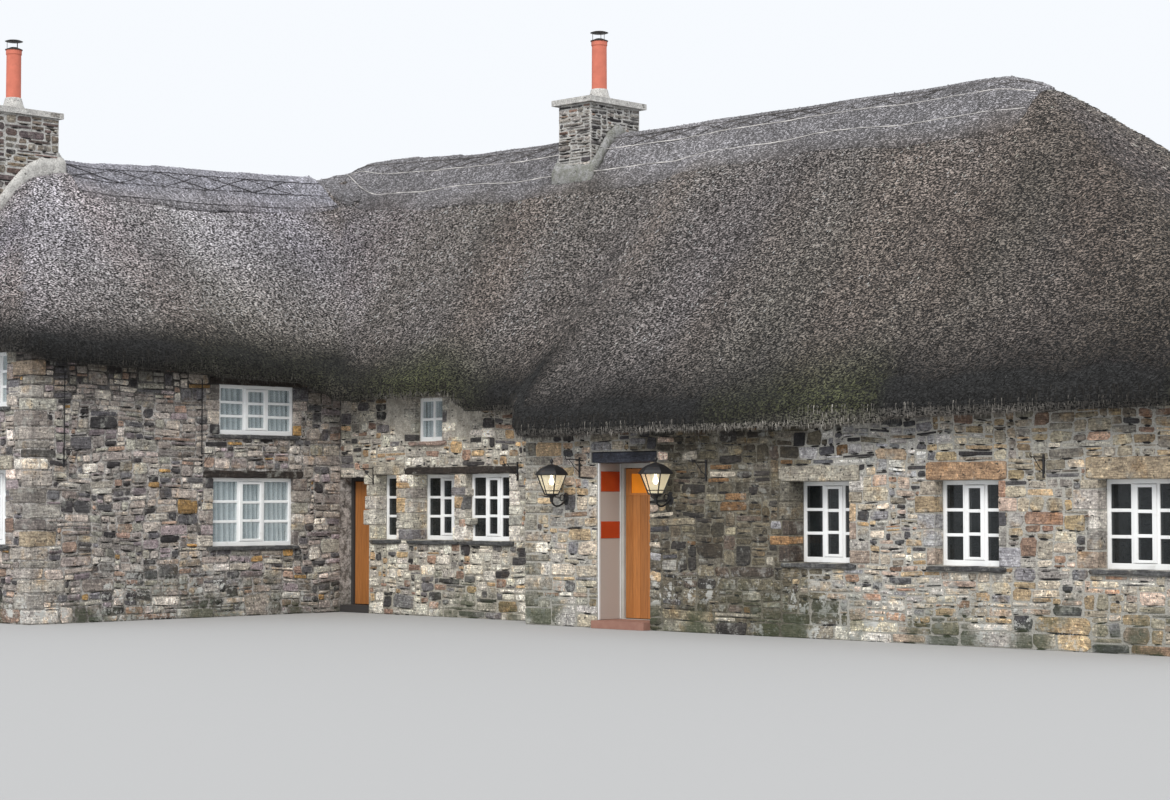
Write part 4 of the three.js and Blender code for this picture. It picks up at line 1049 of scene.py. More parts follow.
def dress_wall(name, wall, index):
    """All stones of one wall in one piece, and then its windows."""
    rng = seeded(index)
    face = wall_face(wall)
    length = face.length
    columns, rows = int(length / CELL_U), int(WALL_TOP / CELL_Z)
    taken = np.zeros((rows, columns), bool)
    tops = []
    for column in range(columns):
        x, y, _ = face.place(np.array([(column + 0.5) * CELL_U, 0, 0.01]))
        tops.append(thatch_over(x, y) + 0.03)
        taken[int(tops[-1] / CELL_Z):, column] = True
    pile = Pile()
    covered = list(wall.get("holes", ()))
    for window, lintel in wall["windows"].items():
        boxes, tones, over, rough = window_surround(window, face.span(window), lintel, rng, wall)
        add_blocks(pile, face, boxes, JAMB_EDGE, np.array(tones), rng)
        for box, tone in rough:
            add_rough_block(pile, face, box, tone, rng, 0.005)
        covered += over
    for end, corner in enumerate(wall["corners"]):
        if corner is None:
            continue
        owner = end == 1
        boxes, over = corner_boxes(corner, length, end == 0, owner)
        covered += over
        if owner:
            x, y = CORNERS[corner]
            top = thatch_over(x - 0.02 * np.sign(x), y * 0.995)
            boxes = [box for box in boxes if box[0][1] < top]
            tones = pick_tones(rng, PALE if corner != "wing_right" else QUOIN, len(boxes)) * 0.85
            add_blocks(pile, face, boxes, CORNER_EDGE, tones, rng)
    for u0, u1, z0, z1 in covered:
        columns_over = slice(max(int(u0 / CELL_U + 0.4), 0), int(math.ceil(u1 / CELL_U - 0.4)))
        taken[max(int(z0 / CELL_Z + 0.4), 0):int(math.ceil(z1 / CELL_Z - 0.4)), columns_over] = True
    cells = lay_stones(rng, taken, wall)
    still = np.array(covered + [(-1, 0, 0, 9), (length, length + 1, 0, 9), (0, length, -1, 0)])

    def keep_still(u, z):
        near = np.full(u.shape, 9.0)
        for u0, u1, z0, z1 in still:
            away = np.maximum(np.maximum(u0 - u, u - u1), np.maximum(z0 - z, z - z1))
            near = np.minimum(near, away)
        return np.clip(near / 0.3, 0, 1)

    face.shift_u, face.shift_z = ripple(rng), ripple(rng)
    add_stones(pile, face, cells, rng, wall, keep_still, np.array(tops))
    pile.build(name, STONE, "masonry")
    for window in wall["windows"]:
        make_window(window, face)


STACKS = {
    "main_chimney_stones": dict(
        centre=(-1.576, 0.0), size=(0.62, 1.0), low=5.7, high=7.135, overhang=0.075, shades=SLATE,
        wide=(0.2, 0.42), tall=(0.044, 0.08), joint=0.014, proud=(0.006, 0.02),
        cap=dict(shades=CAP_RUBBLE, courses=2, long=(0.12, 0.34))),
    "wing_chimney_stones": dict(
        centre=(WING_MIDDLE, -6.13), size=(0.62, 1.08), low=5.0, high=6.905, overhang=0.05, shades=UMBER,
        wide=(0.26, 0.42), tall=(0.075, 0.13), joint=0.015, proud=(0.004, 0.014),
        cap=dict(shades=CAP_SLABS, courses=1, long=(0.3, 0.6)))}


def stack_faces(stack, past=0.0):
    """The four faces of a stack, or of a slab that reaches past it."""
    (cx, cy), (sx, sy) = stack["centre"], stack["size"]
    for normal in FOUR_SIDES:
        along = np.array([-normal[1], normal[0]])
        length, depth = (sx, sy) if normal[0] == 0 else (sy, sx)
        length += 2 * past
        middle = np.array([cx, cy]) + np.array(normal) * (depth / 2 + past)
        yield Face(middle - along * length / 2, normal, length)


def dress_stack(name, stack, index):
    rng = seeded(STACK_SEED + index)
    pile = Pile()
    for face in stack_faces(stack):
        columns, rows = int(face.length / CELL_U), int((stack["high"] - stack["low"]) / CELL_Z)
        taken = np.zeros((rows, columns), bool)
        cells = lay_stones(rng, taken, stack)
        cells[:, [1, 3]] += stack["low"] / CELL_Z
        cells[:, [0, 2]] *= face.length / (columns * CELL_U)
        face.shift_u = face.shift_z = lambda u, z, fade: 0 * u
        add_stones(pile, face, cells, rng, stack, lambda u, z: np.ones(u.shape))
    return pile.build(name, STONE, "masonry")


# Thatch


def remeshed(names, voxel, smoothing):
    """The CAD solids as one even skin: points and four-sided faces."""
    points, faces = gather(names)
    mesh = bpy.data.meshes.new("skin")
    mesh.from_pydata(points, [], faces)
    source = bpy.data.objects.new("skin", mesh)
    bpy.context.scene.collection.objects.link(source)
    remesh = source.modifiers.new("remesh", "REMESH")
    remesh.mode = "VOXEL"
    remesh.voxel_size = voxel
    smooth = source.modifiers.new("smooth", "SMOOTH")
    smooth.factor = 0.5
    smooth.iterations = smoothing
    made = bpy.data.meshes.new_from_object(source.evaluated_get(bpy.context.evaluated_depsgraph_get()))
    skin = read_mesh(made)
    bpy.data.objects.remove(source)
    bpy.data.meshes.remove(mesh)
    bpy.data.meshes.remove(made)
    return skin


def read_mesh(mesh):
    points = np.empty(len(mesh.vertices) * 3)
    mesh.vertices.foreach_get("co", points)
    corners = np.empty(len(mesh.loops), int)
    mesh.loops.foreach_get("vertex_index", corners)
    return points.reshape(-1, 3), corners.reshape(-1, 4)


def face_frames(points, quads):
    """Centre, outward normal and area of each four-sided face."""
    corner = points[quads]
    normal = np.cross(corner[:, 2] - corner[:, 0], corner[:, 3] - corner[:, 1])
    size = np.linalg.norm(normal, axis=1)
    return corner.mean(1), normal / np.maximum(size, 1e-9)[:, None], size / 2


def point_normals(points, quads):
    _, normal, area = face_frames(points, quads)
    total = np.zeros_like(points)
    for k in range(4):
        np.add.at(total, quads[:, k], normal * area[:, None])
    return total / np.maximum(np.linalg.norm(total, axis=1), 1e-9)[:, None]


def lumps(points, scale, seed):
    """Smooth noise from -1 to 1 at each point, from a few turned waves."""
    rng = np.random.default_rng(seed)
    total = np.zeros(len(points))
    for _ in range(9):
        direction = rng.normal(size=3)
        direction *= scale * rng.uniform(0.6, 1.6) / np.linalg.norm(direction)
        bend = 0.8 * np.sin(points @ np.roll(direction, 1))
        total += np.sin(points @ direction + rng.uniform(0, 6.28) + bend)
    return total / 4


def over_the_rooms(points):
    x, y = points[:, 0], points[:, 1]
    wing = (x > WING_LEFT) & (x < WING_RIGHT) & (y > WING_FRONT)
    inner = (x > -4.5) & (x < 0.1) & (y > INNER_FRONT)
    main = (x > STEP_X) & (x < MAIN_RIGHT) & (y > MAIN_FRONT)
    return (wing | inner | main) & (y < MAIN_BACK)


EAVES = np.array([
    (10.84, -3.45), (10.84, 3.45), (-10.06, 3.45), (-10.06, -7.91), (-3.93, -7.91), (-3.93, -2.85),
    (0.0, -2.85), (0.0, -3.45)])


def from_eaves(points):
    """How far in plan each point lies from the nearest eaves line."""
    near = np.full(len(points), 9.0)
    for start, end in zip(EAVES, np.roll(EAVES, -1, axis=0)):
        along = end - start
        share = np.clip((points[:, :2] - start) @ along / (along @ along), 0, 1)[:, None]
        near = np.minimum(near, np.linalg.norm(points[:, :2] - start - share * along, axis=1))
    return near


def blend_shades(share, a, b):
    share = np.clip(share, 0, 1)[:, None]
    return np.array(a) * (1 - share) + np.array(b) * share


def faces_sideways(normal):
    return np.abs(normal[:, 0]) > np.abs(normal[:, 1])


def bleached_share(points):
    """How bleached the straw is under the eaves, in patches."""
    return np.clip(0.75 + 0.6 * lumps(points, 2.5, 21), 0.15, 1)


MAUVE, OLIVE, BROWN = (0.128, 0.115, 0.114), (0.124, 0.113, 0.098), (0.122, 0.102, 0.09)
SHADED_RIGHT = (0.6, 0.55, 0.51)
BLEACHED = (0.23, 0.215, 0.195)
MOSSY_STRAW = (0.085, 0.092, 0.042)
WING_PALE = ((3.4, 4.2, 5.0, 6.4), (2.75, 1.85, 0.92, 1.3))
BY_HEIGHT = ((3.0, 4.2, 6.6), (0.92, 1.0, 1.32))
BY_EAVES = ((0.0, 0.12, 0.3, 0.55, 0.9), (0.05, 0.07, 0.44, 0.88, 1.0))
ALONG_EAVES = (-3.9, -3.0, 1.0, 3.0)
DAMP_CORNER = (-2.3, -2.5)


def weathering(points, normal):
    """Tone of the old straw: mauve and olive grey with brown, dark by the eaves, mossy where damp."""
    x, y, z = points.T
    facing_wing = np.clip((-4.2 - x) / 1.5, 0, 1) * np.clip((-0.5 - y) / 1.5, 0, 1)
    down = np.stack([x * 0.9, y * 0.25, z * 0.25], 1)
    across = np.stack([x * 0.25, y * 0.9, z * 0.25], 1)
    drift = np.where(faces_sideways(normal)[:, None], across, down)
    tone = blend_shades(0.5 + 0.5 * lumps(drift, 2.2, 5), MAUVE, OLIVE)
    brown = 0.8 * np.clip(lumps(drift, 3.1, 6) - 0.1, 0, 1)[:, None]
    tone = tone * (1 - brown) + np.array(BROWN) * brown
    tone *= (1 + facing_wing * np.interp(z, *WING_PALE))[:, None]
    tone *= blend_shades(facing_wing, (0.98, 0.98, 0.98), (0.97, 1.02, 1.18))
    tone *= blend_shades((x - 4.0) / 4.5, NO_CHANGE, SHADED_RIGHT)
    tone *= (1 + 0.18 * lumps(drift, 4.5, 9))[:, None]
    tone *= np.interp(z, *BY_HEIGHT)[:, None]
    inward = from_eaves(points) + 0.05 * lumps(drift, 5.0, 14)
    inward = (inward + 0.06 * lumps(points, 2.3, 15)) * (1 + 0.75 * facing_wing)
    tone *= np.interp(inward, *BY_EAVES)[:, None]
    tone *= 1 - (0.42 * np.clip(1 - inward / 0.9, 0, 1) * np.clip(x / 2.0, 0, 1))[:, None]
    under = np.clip((-0.25 - normal[:, 2]) / 0.3, 0, 1) * bleached_share(points)
    under *= np.interp(x, ALONG_EAVES, (0.12, 0.35, 0.6, 1.0))
    tone += np.array(BLEACHED) * under[:, None]
    damp = np.clip(lumps(points, 1.6, 7) - 0.55, 0, 1) * np.clip((3.9 - z) / 1.2, 0, 1)
    near_corner = np.exp(-((x - DAMP_CORNER[0]) ** 2 + (y - DAMP_CORNER[1]) ** 2) / 0.9)
    corner = near_corner * np.clip((3.9 - z) / 0.8, 0, 1)
    moss = np.clip(0.5 * damp + 0.6 * corner, 0, 0.6)[:, None]
    return np.clip(tone * (1 - moss) + np.array(MOSSY_STRAW) * moss, 0.01, 1)


def scatter(rng, points, quads, keep, count):
    """Random places on the kept faces, evenly by area, with their outward normals."""
    centre, normal, area = face_frames(points, quads)
    weight = area * keep(centre, normal)
    chosen = rng.choice(len(quads), count, p=weight / weight.sum())
    share = rng.random((2, count, 1))
    a, b, c, d = (points[quads[chosen, k]] for k in range(4))
    near, far = a * (1 - share[0]) + b * share[0], d * (1 - share[0]) + c * share[0]
    return near * (1 - share[1]) + far * share[1], normal[chosen]


def downhill(normal, rng, spread):
    """Direction down the slope at each normal, turned a little at random."""
    down = np.array([0, 0, -1.0]) - normal * -normal[:, 2:3]
    down /= np.maximum(np.linalg.norm(down, axis=1), 0.05)[:, None]
    across = np.cross(normal, down)
    turned = down + across * rng.normal(0, spread, (len(normal), 1))
    return turned / np.linalg.norm(turned, axis=1)[:, None]


SPIKE_FACES = np.array([[0, 3, 2], [2, 3, 1], [1, 3, 0], [0, 2, 1]])
# Tone at each corner of a straw: darker on the underside and root, lighter at the lifted tip, as painted
# shade and highlight.
SPIKE_LIGHT_AND_SHADE = np.array([0.62, 0.62, 0.85, 1.2])
SLOPE_STRAWS = dict(length=(0.028, 0.062), width=(0.009, 0.016), lift=(0.004, 0.018))
FRINGE_STRAWS = dict(length=(0.04, 0.12), width=(0.006, 0.012), lift=(0.0, 0.006))
RIDGE_STRAWS = dict(length=(0.03, 0.08), width=(0.007, 0.014), lift=(0.001, 0.006))


def straw_piece(name, slot, rng, place, normal, direction, tones, length, width, lift):
    """Tufts of straw as one piece: four-faced spikes, rooted in the coat and lifted at their tips, painted
    darker underneath and lighter at the tip.
    """
    count = len(place)
    long = rng.uniform(*length, (count, 1))
    half = rng.uniform(*width, (count, 1)) / 2
    across = np.cross(direction, normal)
    across /= np.maximum(np.linalg.norm(across, axis=1), 1e-6)[:, None]
    root = place - direction * long * 0.45
    tip = place + direction * long * 0.55 + normal * rng.uniform(*lift, (count, 1))
    corners = np.stack([
        root + across * half - normal * 0.012, root - across * half - normal * 0.012,
        root + normal * half * 0.9, tip], 1)
    pile = Pile()
    pile.add(corners, repeated([SPIKE_FACES], 4, count), tones[:, None] * SPIKE_LIGHT_AND_SHADE[None, :, None])
    pile.build(name, STRAW, slot)


COAT_VOXEL = 0.115
COAT_SMOOTHING = 6
EAVES_SMOOTHING = 1
COAT_RISE = 0.012
COAT_SHADE = 0.85
STRAW_COUNTS = {"straw_front": 46000, "straw_rear": 17000}
FRINGE_COUNT = 24000
FRINGE_DARK = (0.02, 0.018, 0.016)
FRINGE_PALE = (0.34, 0.32, 0.29)
STRAW_SHADES = (0.08, 0.75, 4.1)
STRAW_SHARES = (0.38, 0.38, 0.24)
STRAW_BRIGHTEST = 0.52


def mark_across(piece, normal):
    """Tells the thatch materials which points lie on slopes that fall along x."""
    across = piece.data.attributes.new("across", "FLOAT", "POINT")
    across.data.foreach_set("value", faces_sideways(normal).astype(float))


def make_coat():
    """The straw coat: crisp at the eaves, smooth and a little wavy on the slopes."""
    points, quads = remeshed(THATCH_NODES, COAT_VOXEL, COAT_SMOOTHING)
    crisp, _ = remeshed(THATCH_NODES, COAT_VOXEL, EAVES_SMOOTHING)
    inland = np.clip((from_eaves(crisp) - 0.2) / 0.4, 0, 1)[:, None]
    points = crisp * (1 - inland) + points * inland
    normal = point_normals(points, quads)
    outside = np.clip(normal[:, 2] + 0.6, 0, 1)[:, None]
    swell = 0.02 * lumps(points, 1.6, 1) + 0.012 * lumps(points, 5.0, 2) + 0.007 * lumps(points, 13.0, 3)
    points = points + normal * (swell[:, None] + COAT_RISE) * outside
    coat = skin_piece("thatch_coat", THATCH, "thatch", points, quads, weathering(points, normal) * COAT_SHADE)
    mark_across(coat, normal)
    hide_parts(*THATCH_NODES)
    return points, quads


def seen_from_front(centre):
    return (centre[:, 1] < -2.0) & (centre[:, 0] > -5.0)


def make_straws(points, quads):
    """Loose straws on the slopes, front and rear, and the fringe of the eaves."""
    rng = seeded(STRAW_SEED)

    def open_slope(centre, normal):
        return (normal[:, 2] > 0.25) & (centre[:, 2] > 2.2)

    def eaves_edge(centre, normal):
        low = (normal[:, 2] < 0.25) & (normal[:, 2] > -0.97) & ~over_the_rooms(centre)
        return low * np.where(normal[:, 2] < -0.3, 1.6, 1.0) * np.where(seen_from_front(centre), 2.0, 1.0)

    halves = {"straw_front": lambda c: c[:, 1] < 0, "straw_rear": lambda c: c[:, 1] >= 0}
    for name, half in halves.items():
        count = STRAW_COUNTS[name]
        place, normal = scatter(rng, points, quads, lambda c, n: open_slope(c, n) & half(c), count)
        direction = downhill(normal, rng, 0.45)
        kind = rng.choice(STRAW_SHADES, (len(place), 1), p=STRAW_SHARES)
        tones = weathering(place, normal) * kind * rng.lognormal(0, 0.25, (len(place), 1))
        tones = np.minimum(tones, STRAW_BRIGHTEST)
        straw_piece(name, "thatch", rng, place, normal, direction, tones, **SLOPE_STRAWS)
    place, normal = scatter(rng, points, quads, eaves_edge, FRINGE_COUNT)
    direction = downhill(normal, rng, 0.35) * 0.3 + np.array([0, 0, -0.9]) + normal * 0.1
    direction /= np.linalg.norm(direction, axis=1)[:, None]
    bleached = bleached_share(place) * np.interp(normal[:, 2], (-0.45, -0.1), (1.0, 0.05))
    bleached *= np.interp(place[:, 0], ALONG_EAVES, (0.12, 0.35, 0.5, 1.0))
    tones = blend_shades(bleached, FRINGE_DARK, FRINGE_PALE)
    tones *= rng.lognormal(0.0, 0.45, (len(place), 1))
    straw_piece("straw_eaves", "thatch", rng, place, normal, direction, tones, **FRINGE_STRAWS)


# Ridges

RIDGE_NODES = ["main_ridge", "wing_ridge"]
RIDGE_TREE = BVHTree.FromPolygons(*gather(RIDGE_NODES))
RIDGE_VOXEL = 0.06
RIDGE_SMOOTHING = 5
RIDGE_STRAW_COUNT = 7000
MAIN_LIGGER = 0.0065
WING_LIGGER = 0.0055
WING_CROSS_STEP = 0.8
MAIN_OFFSETS = (0.12, 0.29, 0.53)
WING_OFFSETS = (0.26, 0.47, 0.69)
MAIN_RUN = (-6.85, 5.9)
WING_RUN = (-5.45, -0.82)
MAIN_CROSS_STEP = 0.58
MAIN_CROSS_INSET = 0.9
ROD_STEP = 0.12
LIGHT_ROD = (0.74, 0.72, 0.7)
DULL_ROD = (0.11, 0.102, 0.1)
DARK_ROD = (0.045, 0.041, 0.046)
RIDGE_SHADES = {"main_ridge": (0.235, 0.228, 0.24), "wing_ridge": (0.315, 0.312, 0.35)}


def on_ridge(x, y):
    hit = RIDGE_TREE.ray_cast(Vector((x, y, 12.0)), Vector((0, 0, -1)))[0]
    return np.array(hit) if hit else None


def ridge_run(pile, start, end, tone, radius, bend=None):
    """A split-hazel rod pegged along the ridge from one plan point to another."""
    start, end = np.array(start), np.array(end)
    count = max(3, int(np.linalg.norm(end - start) / ROD_STEP))
    plan = [start + (end - start) * k / (count - 1) for k in range(count)]
    found = [on_ridge(*(bend(point) if bend else point)) for point in plan]
    rng = np.random.default_rng(int(abs(start[0] * 97 + start[1] * 31) * 10))
    path = [point + np.array([0, 0, rng.uniform(0.001, 0.008)]) for point in found if point is not None]
    if len(path) > 2:
        worn = np.repeat(rng.uniform(0.45, 1.15, (len(path), 1)), 6, 0)
        tones = np.array(tone) * np.concatenate([worn, np.ones((2, 1))])
        tube(pile, path, radius * rng.uniform(0.7, 1.15, len(path)), tones)


def draw_together(point):
    """The rods of the main ridge draw together towards its end over the wing."""
    share = np.clip((point[0] - MAIN_RUN[0]) / 1.2, 0, 1)
    return point[0], point[1] * (0.4 + 0.6 * math.sin(share * math.pi / 2))


def ridge_tones(name, points, normal, shade):
    """Pale along the crest, fading into the tone of the slope at the ridge's lower edges."""
    aside = np.abs(points[:, 1]) if name == "main_ridge" else np.abs(points[:, 0] - WING_MIDDLE)
    fade = np.clip((0.86 - aside + 0.1 * lumps(points, 3.0, 15)) / 0.35, 0, 1)
    tones = weathering(points, normal) * (1 - fade[:, None]) + np.array(shade) * fade[:, None]
    return tones * (1 + 0.15 * lumps(points, 2.2, 8) + 0.1 * lumps(points, 9.0, 9))[:, None]


def make_ridge(name, shade, rng):
    """The wavy skin of one ridge and its loose straws."""
    points, quads = remeshed([name], RIDGE_VOXEL, RIDGE_SMOOTHING)
    normal = point_normals(points, quads)
    points = points + normal * (0.006 * lumps(points, 3.5, 4) + 0.003 * lumps(points, 14.0, 5))[:, None]
    tones = np.clip(ridge_tones(name, points, normal, shade), 0.01, 1)
    skin = skin_piece(name + "_skin", RIDGE_THATCH, "ridge", points, quads, tones)
    mark_across(skin, normal)
    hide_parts(name)
    place, facing = scatter(rng, points, quads, lambda c, n: n[:, 2] > 0.3, RIDGE_STRAW_COUNT)
    direction = downhill(facing, rng, 0.5)
    tones = ridge_tones(name, place, facing, shade) * rng.lognormal(0.1, 0.45, (len(place), 1))
    straw_piece(name + "_straw", "ridge", rng, place, facing, direction, tones, **RIDGE_STRAWS)


def make_liggers(rng):
    """The hazel rods along both ridges and the crosses between the first two of each side."""
    pile = Pile()
    start, end = MAIN_RUN
    low, high = WING_RUN
    for side in (-1, 1):
        for offset, tone in zip(MAIN_OFFSETS, (DULL_ROD, LIGHT_ROD, LIGHT_ROD)):
            y = side * offset
            ridge_run(pile, (start, y), (end, y), tone, MAIN_LIGGER, draw_together)
        for offset in WING_OFFSETS:
            x = WING_MIDDLE + side * offset
            ridge_run(pile, (x, low), (x, high), DARK_ROD, WING_LIGGER)
        for k in range(int((end - start - MAIN_CROSS_INSET) / MAIN_CROSS_STEP)):
            x = start + MAIN_CROSS_INSET + k * MAIN_CROSS_STEP + rng.uniform(-0.06, 0.06)
            for first, second in (MAIN_OFFSETS[:2], MAIN_OFFSETS[1::-1]):
                ends = (x, side * first), (x + MAIN_CROSS_STEP, side * second)
                ridge_run(pile, *ends, DULL_ROD, WING_LIGGER)
        for k in range(int((high - low) / WING_CROSS_STEP)):
            y = low + k * WING_CROSS_STEP + rng.uniform(-0.05, 0.05)
            for first, second in (WING_OFFSETS[:2], WING_OFFSETS[1::-1]):
                ends = (WING_MIDDLE + side * first, y), (WING_MIDDLE + side * second, y + WING_CROSS_STEP)
                ridge_run(pile, *ends, DARK_ROD, WING_LIGGER)
    pile.build("ridge_liggers", WORN_WOOD, "ridge")


def make_ridges():
    rng = seeded(RIDGE_SEED)
    for name, shade in RIDGE_SHADES.items():
        make_ridge(name, shade, rng)
    make_liggers(rng)


# Windows

STILE = 0.044
TOP_RAIL = 0.05
BOTTOM_RAIL = 0.062
MULLION = 0.044
SASH = 0.04
SASH_RAIL = 0.032
SASH_PROUD = 0.012
BAR = 0.036
BAR_DEEP = 0.034
PANE = 0.004
SIDE_TO_CENTRE = 219 / 155
SASH_OVERLAP = 0.7
SASH_GAP = 0.004
SASH_DEEP = 0.015
MULLION_BACK = 0.004
BAR_BACK = 0.005
SILL_RAIL_PROUD = 0.006
PANE_REBATE = 0.004
WHITE = np.array((0.92, 0.93, 0.93))

THREE_LIGHTS = dict(lights=3, rows=3)
WINDOW_STYLES = {"inner_window_1": dict(lights=1, rows=3), "inner_upper_window": dict(lights=2, rows=2)}


def boxed(left, right, bottom, top, back, front):
    """A block from its outline in u and z and its two depths."""
    return (left, bottom, back), (right, top, front)


def three_lights(left, right, low, high, back, front):
    """Mullions, the raised middle sash and the three openings of a window between its stiles."""
    beside = MULLION + SASH
    centre = (right - left - 2 * beside) / (1 + 2 * SIDE_TO_CENTRE)
    side = centre * SIDE_TO_CENTRE
    first, last = left + side, right - side
    timber = [boxed(u, u + MULLION, low, high, back, front - MULLION_BACK) for u in (first, last - MULLION)]
    sash_left, sash_right = first + MULLION * SASH_OVERLAP, last - MULLION * SASH_OVERLAP
    glass_left, glass_right = first + beside, last - beside
    bottom, top = low + SASH_GAP, high - SASH_GAP
    depths = back + SASH_DEEP, front + SASH_PROUD
    timber += [
        boxed(sash_left, glass_left, bottom, top, *depths),
        boxed(glass_right, sash_right, bottom, top, *depths),
        boxed(glass_left, glass_right, top - SASH_RAIL, top, *depths),
        boxed(glass_left, glass_right, bottom, bottom + SASH_RAIL, *depths)]
    openings = [
        (left, first, low, high, 0.0),
        (glass_left, glass_right, low + SASH_RAIL, high - SASH_RAIL, SASH_PROUD),
        (last, right, low, high, 0.0)]
    return timber, openings


def two_lights(left, right, low, high, back, front, middle):
    """The mullion and the two openings of a window between its stiles."""
    before, after = middle - MULLION / 2, middle + MULLION / 2
    timber = [boxed(before, after, low, high, back, front - MULLION_BACK)]
    return timber, [(left, before, low, high, 0.0), (after, right, low, high, 0.0)]


def window_parts(span, lights, rows):
    """Timber boxes and panes of one window, in u, z and d."""
    (u0, z0, back), (u1, z1, front) = span
    left, right, low, high = u0 + STILE, u1 - STILE, z0 + BOTTOM_RAIL, z1 - TOP_RAIL
    timber = [
        boxed(u0, left, z0, z1, back, front), boxed(right, u1, z0, z1, back, front),
        boxed(left, right, high, z1, back, front), boxed(left, right, z0, low, back, front + SILL_RAIL_PROUD)]
    if lights == 3:
        more, openings = three_lights(left, right, low, high, back, front)
    elif lights == 2:
        more, openings = two_lights(left, right, low, high, back, front, (u0 + u1) / 2)
    else:
        more, openings = [], [(left, right, low, high, 0.0)]
    timber += more
    panes = []
    for start, end, bottom, top, proud in openings:
        bars_front = front + proud - BAR_BACK
        for row in range(1, rows):
            z = bottom + (top - bottom) * row / rows
            timber.append(boxed(start, end, z - BAR / 2, z + BAR / 2, bars_front - BAR_DEEP, bars_front))
        middle = bars_front - BAR_DEEP * 0.4
        panes.append(boxed(
            start - PANE_REBATE, end + PANE_REBATE, bottom - PANE_REBATE, top + PANE_REBATE,
            middle - PANE, middle))
    return timber, panes


CURTAINED = (
    "wing_side_window", "wing_side_upper_window", "inner_upper_window", "wing_end_upper_window_1",
    "wing_end_upper_window_2", "wing_end_window_1")
CURTAIN_FOLD = 0.085
CURTAIN_DEPTH = 0.016
CURTAIN_STEP = 0.01
CURTAIN_BEHIND = 0.045
CURTAIN_MARGIN = 0.02


def make_curtain(name, face, span):
    """A gathered net curtain just behind the window, as one thin folded sheet, painted lighter on the crests
    of its folds and darker in the troughs as light and shade.
    """
    (u0, z0, back), (u1, z1, _) = span
    rng = seeded(len(name) + int(u0 * 10))
    left, right = u0 + CURTAIN_MARGIN, u1 - CURTAIN_MARGIN
    bottom, top = z0 + CURTAIN_MARGIN, z1 - CURTAIN_MARGIN
    columns = int((right - left) / CURTAIN_STEP)
    levels = np.linspace(bottom, top, 7)
    u = np.linspace(left, right, columns + 1)
    phase = FULL_TURN * (u - left) / CURTAIN_FOLD + 1.1 * np.sin(u * 9 + rng.uniform(0, 6))
    local = np.empty((len(levels), len(u), 3))
    for k, z in enumerate(levels):
        loose = 0.75 + 0.25 * (top - z) / (top - bottom)
        local[k, :, 0] = u + 0.003 * np.sin(7 * z + u * 20)
        local[k, :, 1] = z
        local[k, :, 2] = back - CURTAIN_BEHIND + CURTAIN_DEPTH * loose * np.sin(phase + 0.25 * k)
    points = face.place(local)
    index = np.arange(points.shape[0] * points.shape[1]).reshape(points.shape[:2])
    quads = np.stack([index[:-1, :-1], index[:-1, 1:], index[1:, 1:], index[1:, :-1]], -1).reshape(-1, 4)
    turned = np.broadcast_to(phase, points.shape[:2]) + 0.25 * np.arange(len(levels))[:, None]
    # Crests lighter and troughs darker, in step with the depth: painted light and shade of the folds.
    fold_light_and_shade = 0.5 + 0.5 * np.sin(turned)
    tones = np.repeat(0.42 + 0.53 * fold_light_and_shade.reshape(-1, 1) ** 1.3, 3, 1)
    piece = skin_piece(name + "_net_curtain", NET, None, points, quads, tones)


def make_window(name, face):
    """Timber and panes of one window, and its net curtain where it has one."""
    span = face.span(name)
    rng = seeded(sum(map(ord, name)))
    timber, panes = window_parts(span, **WINDOW_STYLES.get(name, THREE_LIGHTS))
    tones = WHITE * rng.uniform(0.94, 1.02, (len(timber), 1))
    joinery = block_piece(name + "_joinery", PAINT, "white_paint", face, timber, TIMBER_EDGE, tones, rng)
    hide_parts(name)
    glass = CLEAR_GLASS if name in CURTAINED else ROOM_SHADED_GLASS
    block_piece(name + "_glass", glass, None, face, panes, PANE_EDGE, WHITE, rng)
    if name in CURTAINED:
        make_curtain(name, face, span)


# Doors

PLANK = 0.118
PLANK_GAP = 0.004
LEDGE_TALL = 0.12
STRAP_TALL = 0.0354
DOOR_TONE = np.array((0.47, 0.185, 0.05))
GLAZED_TALL = 0.27
GLAZED_FROM_TOP = 0.065
FRAME_SIDE = 0.09
FRAME_FOOT = 0.03
DOOR_THICK = 0.044
PLANK_DEPTHS = (-0.04, 0.0)
FRAME_DEPTHS = (-0.042, -0.001)
PANE_DEPTHS = (-0.024, -0.016)
LEDGE_DEPTHS = (-0.0435, -0.038)
STRAP_DEPTHS = (-0.0485, -0.043)
STRAP_SPAN = (0.012, 0.33)
HINGE_HEIGHTS = {"front_door": (0.3683, 1.7073), "side_door": (0.3683, 1.5823)}
HINGE_GAP = 0.014
PIN_ASIDE = 0.011
PIN_BEHIND = 0.012
KNUCKLE = 0.0109
LEDGE_FROM_FOOT = 0.3
LEDGE_BELOW_PANE = 0.14
RING = 0.03
RING_THICK = 0.004
RING_Z = 0.98
DOOR_IRON = (0.03, 0.03, 0.032)


def glazed_frame(left, right, bottom, top, glass_top):
    """The four members round the small pane of a door."""
    inner_left, inner_right = left + FRAME_SIDE, right - FRAME_SIDE
    return [
        boxed(left, inner_left, bottom, top, *FRAME_DEPTHS),
        boxed(inner_right, right, bottom, top, *FRAME_DEPTHS),
        boxed(inner_left, inner_right, glass_top, top, *FRAME_DEPTHS),
        boxed(inner_left, inner_right, bottom, bottom + FRAME_FOOT, *FRAME_DEPTHS)]


